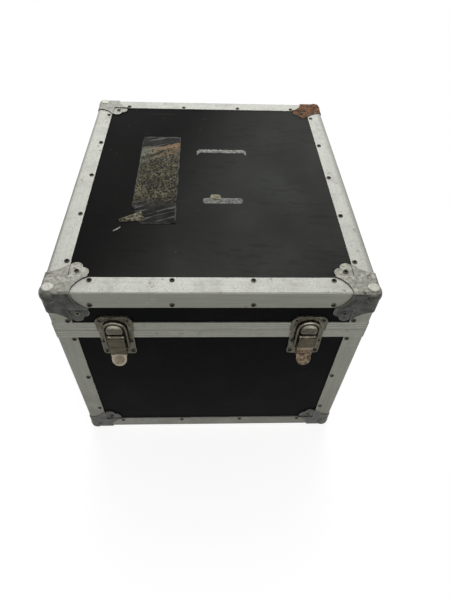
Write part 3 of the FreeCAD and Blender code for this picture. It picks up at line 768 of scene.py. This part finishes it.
@dataclass
class DrawLatch:
    """One draw latch, from its keeper to its lever."""

    side: str
    plate_rust: float
    lever_rust: float
    tab_tones: tuple[Tone, Tone]
    tab_rim: Tone
    plate_tone: Tone = (0.086, 0.083, 0.059)
    lever_tone: Tone = (0.066, 0.054, 0.032)
    # Strengths of the highlights painted on the upper faces
    plate_highlight: float = 0.85
    lever_highlight: float = 0.25
    heel_cover: float = 0.0
    tab_height: float = 17 * MM
    tab_fade: float = 1 * MM
    rust_height: float = 30 * MM
    rust_fade: float = 8 * MM
    heel_height: float = 35 * MM
    heel_fade: float = 2 * MM

    def dress(self) -> None:
        """Tarnish the fixed plates and the wire, paint highlights on the upper faces of plates, wire and
        lever, and rub the lever's finger tab bright.
        """
        stem = f"latch_{self.side}"
        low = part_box(f"{stem}_lever")[0].z
        tab = (Zone(Z, low + self.tab_height, -self.tab_fade),)
        foot = (Zone(Z, low + self.rust_height, -self.rust_fade),)
        heel = (Zone(Z, low + self.heel_height, -self.heel_fade),)
        plates = old_nickel(f"{stem}_nickel", self.plate_tone, self._rust(self.plate_rust), self.plate_highlight,
                            Wear((0.50, 0.48, 0.40), reach=0.9 * MM, strength=0.7))
        rubbed_heel = StainOrPaintedLight((0.19, 0.145, 0.092), (0.36, 0.285, 0.195), rough=0.4, cover=self.heel_cover,
                            patch=6 * MM, metal=0.6, strength=0.85, shift=2.0, zones=heel)
        rubbed_tab = StainOrPaintedLight(*self.tab_tones, rough=0.34, metal=0.7, strength=0.9, zones=tab)
        lever = old_nickel(f"{stem}_lever_nickel", self.lever_tone, self._rust(self.lever_rust, foot),
                           self.lever_highlight,
                           Wear(self.tab_rim, reach=2.6 * MM, strength=1.0, zones=tab, is_broken=False),
                           (rubbed_heel, rubbed_tab))
        dress([f"{stem}_plate", f"{stem}_keeper", f"{stem}_loop"], plates.material())
        dress([f"{stem}_lever"], lever.material())

    @staticmethod
    def _rust(cover: float, zones: tuple[Zone, ...] = ()) -> StainOrPaintedLight:
        """Give small patches of dark rust."""
        return StainOrPaintedLight(RUST_DARK, (0.19, 0.080, 0.034), rough=0.8, cover=cover, patch=5 * MM, metal=0.05,
                     soft=0.05, strength=0.85, shift=5.0, pitted=0.1 * MM, zones=zones)


class Hardware:
    """The hinges, handles and pins in plated steel."""

    def dress(self) -> None:
        """Plate the steel and put rubber on the grips."""
        names = ["hinge_pins", "latch_lever_pins"]
        for side in ("left", "right"):
            names += [f"hinge_{side}_base_leaf", f"hinge_{side}_lid_leaf"]
            names += [f"handle_{side}_dish", f"handle_{side}_bail"]
        dress(names, STEEL.material())
        dress(["handle_left_grip", "handle_right_grip"], RUBBER.material())


@dataclass
class RivetRows:
    """The hollow rivets of one body, set by a node group on the places of its CAD rivets."""

    body: str
    head: float = 4.0 * MM
    eye: float = 2.2 * MM
    rise: float = 1.3 * MM
    ring_sides: int = 20
    section_sides: int = 10
    eye_sides: int = 14
    least: float = 0.94
    most: float = 1.04
    seed: int = 4

    def spots(self) -> list[tuple[Vector, Vector]]:
        """Find where each rivet's head sits and which way it faces.

        Returns:
            Pairs of seat and outward direction.
        """
        middle = sum(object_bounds(), Vector()) / 2
        found = []
        for part in solid_parts(f"{self.body}_rivets"):
            low, high = mesh_box(part)
            part.free()
            centre = (low + high) / 2
            axis = max((X, Y, Z), key=lambda place: high[place] - low[place])
            outward = Vector((0, 0, 0))
            outward[axis] = math.copysign(1.0, centre[axis] - middle[axis])
            seat = centre + outward * ((high[axis] - low[axis]) / 2 - self.rise)
            found.append((seat, outward))
        return found

    def group(self) -> NodeTree:
        """Build the node group that sets a rivet on each point.

        Returns:
            The node group.
        """
        group = bpy.data.node_groups.new("rivet_rows", "GeometryNodeTree")
        kinds = {"Points": "Geometry", "Head Radius": "Float", "Eye Radius": "Float", "Rise": "Float",
                 "Seed": "Int", "Crown Finish": "Material", "Eye Finish": "Material"}
        for name, kind in kinds.items():
            group.interface.new_socket(name, in_out="INPUT", socket_type=f"NodeSocket{kind}")
        group.interface.new_socket("Rivets", in_out="OUTPUT", socket_type="NodeSocketGeometry")
        tree = Tree(group)
        given = tree.node("NodeGroupInput").outputs
        head, eye, rise = given["Head Radius"], given["Eye Radius"], given["Rise"]
        half = tree.times(tree.math("SUBTRACT", head, eye), 0.5)
        ring = tree.out("GeometryNodeCurvePrimitiveCircle",
                        {"Resolution": self.ring_sides, "Radius": tree.math("SUBTRACT", head, half)})
        disc = tree.out("GeometryNodeCurvePrimitiveCircle",
                        {"Resolution": self.section_sides, "Radius": 1.0})
        size = tree.out("ShaderNodeCombineXYZ", {X: half, Y: rise, Z: 1.0})
        section = tree.out("GeometryNodeTransform", {"Geometry": disc, "Scale": size})
        crown = tree.out("GeometryNodeCurveToMesh", {"Curve": ring, "Profile Curve": section})
        # The core floors the eye and carries the painted shade of the hollow
        core = tree.out("GeometryNodeMeshCylinder",
                        {"Vertices": self.eye_sides, "Radius": tree.math("ADD", eye, half), "Depth": rise})
        marked = tree.out("GeometryNodeStoreNamedAttribute", {"Geometry": core, "Name": "eye", "Value": True},
                          data_type="BOOLEAN", domain="FACE")
        rivet = tree.node("GeometryNodeJoinGeometry")
        for piece in (marked, crown):
            tree.feed(rivet, {0: piece})
        outward = tree.out("GeometryNodeInputNamedAttribute", {"Name": "outward"}, data_type="FLOAT_VECTOR")
        turn = tree.out("FunctionNodeAlignRotationToVector", {"Vector": outward}, axis="Z")
        vary = tree.node("FunctionNodeRandomValue", {2: self.least, 3: self.most, "Seed": given["Seed"]},
                         data_type="FLOAT")
        placed = tree.out("GeometryNodeInstanceOnPoints",
                          {"Points": given["Points"], "Instance": rivet.outputs[0], "Rotation": turn,
                           "Scale": vary.outputs[1]})
        real = tree.out("GeometryNodeRealizeInstances", {"Geometry": placed})
        is_eye = tree.out("GeometryNodeInputNamedAttribute", {"Name": "eye"}, data_type="BOOLEAN")
        plated = tree.out("GeometryNodeSetMaterial", {"Geometry": real, "Material": given["Crown Finish"]})
        done = tree.out("GeometryNodeSetMaterial",
                        {"Geometry": plated, "Selection": is_eye, "Material": given["Eye Finish"]})
        tree.node("NodeGroupOutput", {0: done})
        return group

    def build(self) -> None:
        """Make the body's rivets as one plain mesh."""
        spots = self.spots()
        points = bpy.data.meshes.new(f"{self.body}_rivet_points")
        points.from_pydata([seat for seat, _ in spots], [], [])
        ways = points.attributes.new("outward", "FLOAT_VECTOR", "POINT")
        ways.data.foreach_set("vector", [part for _, outward in spots for part in outward])
        carrier = add_object(f"{self.body}_rivet_points", points)
        modifier = carrier.modifiers.new("rivets", "NODES")
        modifier.node_group = self.group()
        values = {"Head Radius": self.head, "Eye Radius": self.eye, "Rise": self.rise, "Seed": self.seed,
                  "Crown Finish": RIVET_CROWN.material(), "Eye Finish": RIVET_EYE_SHADE.material()}
        for item in modifier.node_group.interface.items_tree:
            if item.name in values:
                modifier[item.identifier] = values[item.name]
        mesh = baked(carrier)
        bpy.data.objects.remove(carrier)
        piece = link_piece(f"{self.body}_rivet_heads", mesh)
        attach(piece, self.body)
        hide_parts(f"{self.body}_rivets")


@dataclass(frozen=True)
class FoamFinish:
    """Charcoal open-cell foam."""

    name: str = "charcoal_foam"
    tone: Tone = (0.020, 0.020, 0.022)
    light: Tone = (0.040, 0.040, 0.043)
    cells_per_metre: float = 900.0

    def material(self) -> Material:
        """Pit the foam with fine cells and let its tone drift.

        Returns:
            The material.
        """
        if self.name in bpy.data.materials:
            return bpy.data.materials[self.name]
        graph = Graph(self.name)
        drift = graph.ease(graph.noise((18, 18, 18)), 0.3, 0.7)
        cells = graph.node("ShaderNodeTexVoronoi",
                           {"Vector": graph.places["Object"], "Scale": self.cells_per_metre})
        pores = cells.outputs["Distance"]
        graph.raise_by(pores, 0.5 * MM, 0.8)
        graph.feed(graph.shader, {"Sheen Weight": 0.15, "Sheen Roughness": 0.6})
        tone = graph.blend(graph.times(drift, pores), self.tone, self.light)
        return graph.finish(tone, rough=0.95, gloss=0.1)


@dataclass
class FoamLining:
    """The foam pads that line the base, and the foam with soft peaks in the lid."""

    voxel: float = 4.0 * MM
    rounding: float = 3.0 * MM
    swell: float = 0.7 * MM
    waves_per_metre: float = 22.0
    peak_pitch: float = 34.0 * MM
    peak_rise: float = 8.0 * MM
    cell: float = 4.2 * MM

    def build(self) -> None:
        """Make every pad and put it in the place of its CAD solid."""
        pads = [(self._pad(f"base_foam_pad_{place}", part), "base", "base_foam_lining", 0.8)
                for place, part in enumerate(solid_parts("base_foam_lining"), start=1)]
        pads.append((self._peaked_pad("lid_foam_pad"), "lid", "lid_foam", 0.7))
        for pad, body, node, fill in pads:
            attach(pad, body)
            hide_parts(node)

    def _pad(self, name: str, part: BMesh) -> Object:
        """Round a pad's edges and let its faces swell a little.

        Args:
            name: Name of the pad.
            part: The CAD solid.

        Returns:
            The pad.
        """
        low, high = mesh_box(part)
        bmesh.ops.dissolve_limit(part, angle_limit=0.02, verts=part.verts, edges=part.edges)
        bmesh.ops.bevel(part, geom=part.edges[:], offset=self.rounding, segments=3, profile=0.5,
                        affect="EDGES")
        pad = link_piece(name, plain_mesh(name, part))
        remesh = pad.modifiers.new("even_faces", "REMESH")
        remesh.mode = "VOXEL"
        remesh.voxel_size = self.voxel
        smooth = pad.modifiers.new("soften", "SMOOTH")
        smooth.iterations = 4
        fine = baked(pad)
        pad.modifiers.clear()
        pad.data = fine
        moved = []
        for vert in fine.vertices:
            wave = noise.fractal(vert.co * self.waves_per_metre, 1.0, 2.0, 2)
            spot = vert.co + vert.normal * (self.swell * (wave - 0.6))
            moved += [min(max(one, least), most) for one, least, most in zip(spot, low, high)]
        fine.vertices.foreach_set("co", moved)
        fine.materials.append(FoamFinish().material())
        fine.polygons.foreach_set("use_smooth", [True] * len(fine.polygons))
        return pad

    def _peaked_pad(self, name: str) -> Object:
        """Make foam with rows of soft peaks that hold the load down.

        Args:
            name: Name of the pad.

        Returns:
            The pad.
        """
        low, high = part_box("lid_foam")
        span = high - low
        turn = math.tau / self.peak_pitch

        def back(across: float, along: float) -> Vector:
            """Give a place on the flat back."""
            return Vector((low.x + span.x * across, low.y + span.y * along, high.z))

        def peaks(across: float, along: float) -> Vector:
            """Give a place on the peaked face, below the back."""
            wave = math.sin(span.x * across * turn) * math.sin(span.y * along * turn)
            level = low.z + self.peak_rise * (1 - wave) / 2
            return Vector((*back(across, along).xy, level))

        part = bmesh.new()
        columns, rows = (round(span[axis] / self.cell) for axis in (X, Y))
        for place in (back, peaks):
            span_grid(part, columns, rows, place)
        bmesh.ops.bridge_loops(part, edges=[edge for edge in part.edges if edge.is_boundary])
        bmesh.ops.recalc_face_normals(part, faces=part.faces)
        return link_piece(name, plain_mesh(name, part), FoamFinish().material())


@dataclass(frozen=True)
class PaperBand:
    """A band of torn paper under the tape, by shares of the tape's length."""

    centre: float
    slope: float
    half: float
    strength: float


@dataclass(frozen=True)
class TapeFinish:
    """Clear tape gone cloudy, with old glue cracked under it."""

    name: str = "old_tape"
    film: Tone = (0.007, 0.007, 0.0065)
    haze: Tone = (0.036, 0.036, 0.034)
    crease: Tone = (0.20, 0.20, 0.19)
    glue: Tone = (0.085, 0.075, 0.038)
    glue_light: Tone = (0.27, 0.245, 0.150)
    paper: Tone = (0.43, 0.285, 0.155)
    paper_faded: Tone = (0.29, 0.29, 0.22)
    lean: float = math.radians(24)
    bands: tuple[PaperBand, ...] = (PaperBand(0.80, 0.075, 0.050, 0.95), PaperBand(0.665, 0.165, 0.024, 0.5))

    def material(self) -> Material:
        """Paint the film, the glue, the paper and the creases by the sheet's own width and length.

        Returns:
            The material.
        """
        graph = Graph(self.name)
        across, along, _ = graph.axes("UV")
        wander = graph.times(graph.math("SUBTRACT", graph.noise((38, 38, 38)), 0.5), 0.18)
        level = graph.math("ADD", along, wander)
        specks = graph.noise((390, 270, 390), shift=2.0)
        haze = graph.ease(graph.noise((55, 55, 55), detail=4, shift=7.0), 0.35, 0.75)
        middle = graph.times(graph.ease(level, 0.15, 0.27), graph.ease(level, 0.87, 0.79))
        tone = graph.blend(graph.times(haze, graph.blend(middle, 1.0, 0.25)), self.film, self.haze)
        glued = graph.times(middle, graph.ease(specks, 0.455, 0.54))
        aged = graph.ease(graph.noise((70, 45, 70), detail=4, shift=6.0), 0.3, 0.7)
        tone = graph.blend(glued, tone, graph.blend(aged, self.glue, self.glue_light))
        paper = graph.blend(graph.ease(across, 0.1, 0.65), self.paper_faded, self.paper)
        holes = graph.ease(specks, 0.34, 0.46)
        for band in self.bands:
            line = graph.math("ADD", graph.times(across, band.slope), band.centre)
            away = graph.math("ABSOLUTE", graph.math("SUBTRACT", level, line))
            inside = graph.ease(away, band.half, band.half * 0.55)
            tone = graph.blend(graph.times(inside, band.strength, holes), tone, paper)
        folds = graph.ease(graph.noise((16, 220, 16), shift=9.0, turn=self.lean), 0.56, 0.62)
        ends = graph.ease(graph.times(middle, 0.8), 1.0, 0.0)
        cloudy = graph.math("MAXIMUM", graph.sheet_rim(0.04, 0.014), graph.times(folds, ends))
        broken = graph.times(cloudy, graph.ease(graph.noise((60, 60, 60), shift=4.0), 0.3, 0.6))
        tone = graph.blend(broken, tone, self.crease)
        graph.raise_by(specks, 0.2 * MM)
        graph.raise_by(folds, 0.5 * MM)
        return graph.finish(tone, rough=0.34, gloss=0.03)


@dataclass(frozen=True)
class ResidueFinish:
    """Dry glue that was left when something was pulled off the lid."""

    name: str
    tone: Tone
    light: Tone
    patch: float = 6 * MM
    border: Flat = (0.0, 0.0)

    def material(self) -> Material:
        """Mottle the glue, lighten its border and make it rough.

        Returns:
            The material.
        """
        graph = Graph(self.name)
        mottle = graph.noise((1 / self.patch,) * 3, detail=5)
        tone = graph.blend(graph.ease(mottle, 0.35, 0.65), self.tone, self.light)
        if any(self.border):
            tone = graph.blend(graph.times(graph.sheet_rim(*self.border), mottle), tone, self.light)
        graph.raise_by(mottle, 0.4 * MM)
        return graph.finish(tone, rough=0.8, gloss=0.3)


def wobble(place: float, scale: float, layer: float) -> float:
    """Give smooth noise from about -1 to 1 along a line, with its waves per metre."""
    return noise.noise(Vector((place * scale, layer, 0)))


@dataclass
class LidRemains:
    """Old tape, its peeled corner, and dry glue strips on top of the lid."""

    tape_low: Flat = (-130 * MM, -129 * MM)
    tape_high: Flat = (-58 * MM, 132 * MM)
    tape_thick: float = 0.15 * MM
    torn_across: float = 19 * MM
    torn_along: float = 40 * MM
    tail_start: Flat = (-110 * MM, -110 * MM)
    tail_tip: Flat = (-146 * MM, -122 * MM)
    tail_width: float = 24 * MM
    tail_rise: float = 2.6 * MM
    upper_start: Flat = (-27 * MM, 84 * MM)
    upper_size: Flat = (92 * MM, 11 * MM)
    lower_start: Flat = (-15 * MM, -76 * MM)
    lower_size: Flat = (66 * MM, 15 * MM)
    crumb_start: Flat = (6 * MM, -65 * MM)
    crumb_size: Flat = (20 * MM, 13 * MM)
    scrap_start: Flat = (-152 * MM, -147 * MM)
    scrap_size: Flat = (10 * MM, 4 * MM)

    @cached_property
    def level(self) -> float:
        """Give the height of the lid's top."""
        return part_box("lid_top_panel")[1].z

    def build(self) -> None:
        """Make every remain and stick it to the lid."""
        tape = TapeFinish().material()
        curl = ResidueFinish("curled_tape", (0.055, 0.045, 0.022), (0.50, 0.46, 0.34),
                             patch=5 * MM).material()
        white = ResidueFinish("dry_glue", (0.26, 0.26, 0.24), (0.60, 0.60, 0.56)).material()
        bordered = ResidueFinish("bordered_glue", (0.14, 0.14, 0.135), (0.42, 0.42, 0.39), patch=5 * MM,
                                 border=(0.09, 0.34)).material()
        yellow = ResidueFinish("foam_crumb", (0.30, 0.28, 0.18), (0.52, 0.50, 0.36)).material()
        sheets = (("lid_tape", 24, 80, self._tape_spot, tape),
                  ("lid_tape_tail", 16, 24, self._tail_spot, curl),
                  ("glue_strip_upper", 110, 8, self._upper_spot, white),
                  ("glue_strip_lower", 44, 10, self._lower_spot, bordered),
                  ("glue_crumb", 14, 6, self._crumb_spot, yellow),
                  ("tape_scrap", 8, 4, self._scrap_spot, white))
        for name, columns, rows, place, material in sheets:
            piece = self._sheet(name, columns, rows, place, material)
            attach(piece, "lid")

    def _sheet(self, name: str, columns: int, rows: int, place: Place,
               material: Material) -> Object:
        """Make a thin closed sheet that lies on the lid.

        Args:
            name: Name of the sheet.
            columns: Faces across it.
            rows: Faces along it.
            place: Gives the top of the sheet at a share of its width and length.
            material: Its finish.

        Returns:
            The sheet.
        """
        part = bmesh.new()
        layer = part.loops.layers.uv.new("UVMap")
        span_grid(part, columns, rows, place)
        for face in part.faces:
            for loop in face.loops:
                column, row = divmod(loop.vert.index, rows + 1)
                loop[layer].uv = (column / columns, row / rows)
        piece = link_piece(name, plain_mesh(name, part), material)
        wall = piece.modifiers.new("thickness", "SOLIDIFY")
        wall.thickness = self.tape_thick
        wall.offset = -1.0
        return piece

    def _lift(self, x: float, y: float, rise: float, scale: float = 60.0) -> Vector:
        """Give a place on the lid, lifted by a soft wave.

        Args:
            x: Place across the lid.
            y: Place along the lid.
            rise: Height of the wave.
            scale: Waves per metre.

        Returns:
            The place.
        """
        wave = 0.5 + 0.5 * noise.noise(Vector((x * scale, y * scale, 0.3)))
        return Vector((x, y, self.level + self.tape_thick * 1.2 + rise * wave))

    def _tape_spot(self, across: float, along: float) -> Vector:
        """Lay the tape flat, with its torn corner and slightly lifted edges."""
        left, front = self.tape_low
        right, back = self.tape_high
        y = front + (back - front) * along
        torn = max(0.0, 1 - (y - front) / self.torn_along)
        start = left + self.torn_across * torn
        ragged = 1.2 * MM * noise.noise(Vector((0, y * 45, across * 2)))
        x = start + (right - start) * across + ragged
        edge = min(across, 1 - across, along * 3, (1 - along) * 3)
        rise = 0.25 * MM + 0.9 * MM * max(0.0, 0.08 - edge) / 0.08
        return self._lift(x, y, rise)

    def _tail_spot(self, across: float, along: float) -> Vector:
        """Roll the peeled corner up into two narrow curls."""
        middle = Vector(self.tail_start).lerp(Vector(self.tail_tip), along)
        width = self.tail_width * (1 - 0.7 * along)
        spot = middle + Vector((0.3, -0.95)) * (width * (across - 0.5))
        height = self.tail_rise * (1 - 0.5 * along) * math.sin(across * math.tau) ** 2
        return self._lift(spot.x, spot.y, 0.9 * MM, scale=110) + Vector((0, 0, height))

    def _upper_spot(self, across: float, along: float) -> Vector:
        """Lay the upper strip as a ragged line whose ends hook towards the front."""
        left, middle = self.upper_start
        length, width = self.upper_size
        x = left + length * across
        hook = max(0.0, abs(across - 0.5) * 2 - 0.88) / 0.12
        broad = (width + 3.0 * MM * wobble(x, 90, 1.0)) * (1 + 0.35 * hook)
        bend = (1.5 * wobble(x, 40, 4.0) + 3.0 * wobble(x, 330, 6.0) * along - 7 * hook) * MM
        y = middle + bend + broad * (along - 0.5)
        crown = 1 - (2 * along - 1) ** 2
        return self._lift(x, y, 0.9 * MM * crown, scale=160)

    def _lower_spot(self, across: float, along: float) -> Vector:
        """Lay the lower strip as a flat bar with a raised border."""
        left, front = self.lower_start
        length, width = self.lower_size
        edge = min(across * 3.4, (1 - across) * 3.4, along, 1 - along)
        rounding = 5 * MM * (2 * along - 1) ** 4
        x = left + rounding + (length - 2 * rounding) * across
        y = front + width * along
        pull = 0.8 * MM * noise.noise(Vector((x * 70, y * 70, 2.0)))
        rise = (0.9 if 0.1 < edge < 0.3 else 0.25) * MM
        return self._lift(x + pull, y + pull, rise, scale=140)

    def _crumb_spot(self, across: float, along: float) -> Vector:
        """Heap the crumb of foam on the lower strip's back edge."""
        middle, front = self.crumb_start
        length, width = self.crumb_size
        x = middle + length * (across - 0.5) * math.sqrt(1 - (0.75 * along) ** 2)
        crown = math.sin(math.pi * across) * math.sin(math.pi * along)
        return self._lift(x, front + width * along, (1.0 + 2.6 * crown) * MM, scale=200)

    def _scrap_spot(self, across: float, along: float) -> Vector:
        """Lay the loose scrap aslant in front of the tape."""
        left, front = self.scrap_start
        length, width = self.scrap_size
        slant = 9 * MM * across
        y = front + slant + width * (along - 0.5)
        return self._lift(left + length * across, y, 0.9 * MM, scale=200)


@dataclass(frozen=True)
class Lamp:
    """A soft square lamp, with its power in watts."""

    name: str
    spot: tuple[float, float, float]
    aim: tuple[float, float, float]
    size: float
    power: float

    def hang(self) -> None:
        """Hang the lamp and point it at its aim."""
        data = bpy.data.lights.new(self.name, "AREA")
        data.shape = "SQUARE"
        data.size = self.size
        data.energy = self.power
        lamp = add_object(self.name, data)
        lamp.location = self.spot
        lamp.rotation_euler = (Vector(self.aim) - lamp.location).to_track_quat("-Z", "Y").to_euler()


@dataclass
class Studio:
    """Floor, light and camera."""

    location: tuple[float, float, float] = (-10.08 * MM, -685.22 * MM, 855.13 * MM)
    pitch: float = math.radians(48.918)
    yaw: float = math.radians(3.710)
    roll: float = math.radians(2.842)
    focal_share: float = 452.22 / 600
    sensor: float = 36.0
    floor_size: float = 40.0
    floor_tone: Tone = (0.52, 0.52, 0.52)
    floor_glow: float = 0.84
    fade_start: float = 360 * MM
    fade_end: float = 720 * MM
    surround: float = 0.22
    lamps: tuple[Lamp, ...] = (
        Lamp("rear_box", spot=(0.0, 1.75, 2.1), aim=(0.0, 0.0, 0.35), size=2.3, power=29.0),
        Lamp("front_fill", spot=(0.9, -2.6, 1.9), aim=(0.0, 0.0, 0.25), size=1.6, power=5.0))

    def build(self) -> None:
        """Set up the whole studio."""
        scene = bpy.context.scene
        scene.view_settings.view_transform = "Standard"
        self._floor()
        scene.world = self._world()
        for lamp in self.lamps:
            lamp.hang()
        scene.camera = self._camera()

    def _floor(self) -> None:
        """Lay a pale floor that keeps the case's shadow and fades to white around it."""
        half = self.floor_size / 2
        outline = [(-half, -half, 0), (half, -half, 0), (half, half, 0), (-half, half, 0)]
        mesh = bpy.data.meshes.new("floor")
        mesh.from_pydata(outline, [], [(0, 1, 2, 3)])
        graph = Graph("pale_floor")
        graph.finish(self.floor_tone, rough=0.9, gloss=0.1)
        seen = graph.seen()
        glow = graph.out("ShaderNodeEmission", {"Strength": graph.times(seen, self.floor_glow)})
        lit = graph.out("ShaderNodeAddShader", {0: graph.shader.outputs[0], 1: glow})
        reach = graph.node("ShaderNodeVectorMath", {0: graph.places["Object"]}, operation="LENGTH")
        far = graph.ease(reach.outputs["Value"], self.fade_start, self.fade_end)
        white = graph.out("ShaderNodeEmission", {"Color": WHITE})
        fade = graph.out("ShaderNodeMixShader", {0: graph.times(far, seen), 1: lit, 2: white})
        graph.feed(graph.output, {"Surface": fade})
        link_piece("floor", mesh, graph.material)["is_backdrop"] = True

    def _world(self) -> World:
        """Make a white surround that lights the case only softly.

        Returns:
            The surround.
        """
        world = bpy.data.worlds.new("white_surround")
        world.use_nodes = True
        tree = Tree(world.node_tree)
        level = tree.out("ShaderNodeMapRange", {"Value": tree.seen(), "To Min": self.surround, "To Max": 1.0})
        light = tree.out("ShaderNodeBackground", {"Color": WHITE, "Strength": level})
        tree.node("ShaderNodeOutputWorld", {"Surface": light})
        return world

    def _camera(self) -> Object:
        """Set the camera as it stood for the photograph.

        Returns:
            The camera.
        """
        data = bpy.data.cameras.new("photo_camera")
        data.sensor_fit = "VERTICAL"
        data.sensor_height = self.sensor
        data.lens = self.sensor * self.focal_share
        data.clip_start = 10 * MM
        camera = add_object("photo_camera", data)
        turns = ((-self.yaw, "Z"), (math.pi / 2 - self.pitch, "X"), (self.roll, "Z"))
        steps = [Matrix.Rotation(angle, 4, axis) for angle, axis in turns]
        camera.matrix_world = reduce(operator.matmul, steps, Matrix.Translation(self.location))
        return camera


def main() -> None:
    """Dress the case, build what Blender adds to it, and set up the studio."""
    logging.basicConfig(level=logging.INFO, format="%(relativeCreated)d ms %(name)s: %(message)s")
    Panels().dress()
    EdgeFrame().dress()
    BallCorners().dress()
    DrawLatch("left", plate_rust=0.10, lever_rust=0.10, tab_rim=(0.60, 0.56, 0.46),
              tab_tones=((0.165, 0.136, 0.092), (0.27, 0.23, 0.165))).dress()
    DrawLatch("right", plate_rust=0.22, lever_rust=0.52, tab_rim=(0.30, 0.27, 0.21), heel_cover=0.7,
              tab_tones=((0.14, 0.100, 0.060), (0.25, 0.195, 0.13))).dress()
    Hardware().dress()
    for body in ("base", "lid"):
        RivetRows(body).build()
    FoamLining().build()
    LidRemains().build()
    Studio().build()


if __name__ == "__main__":
    main()
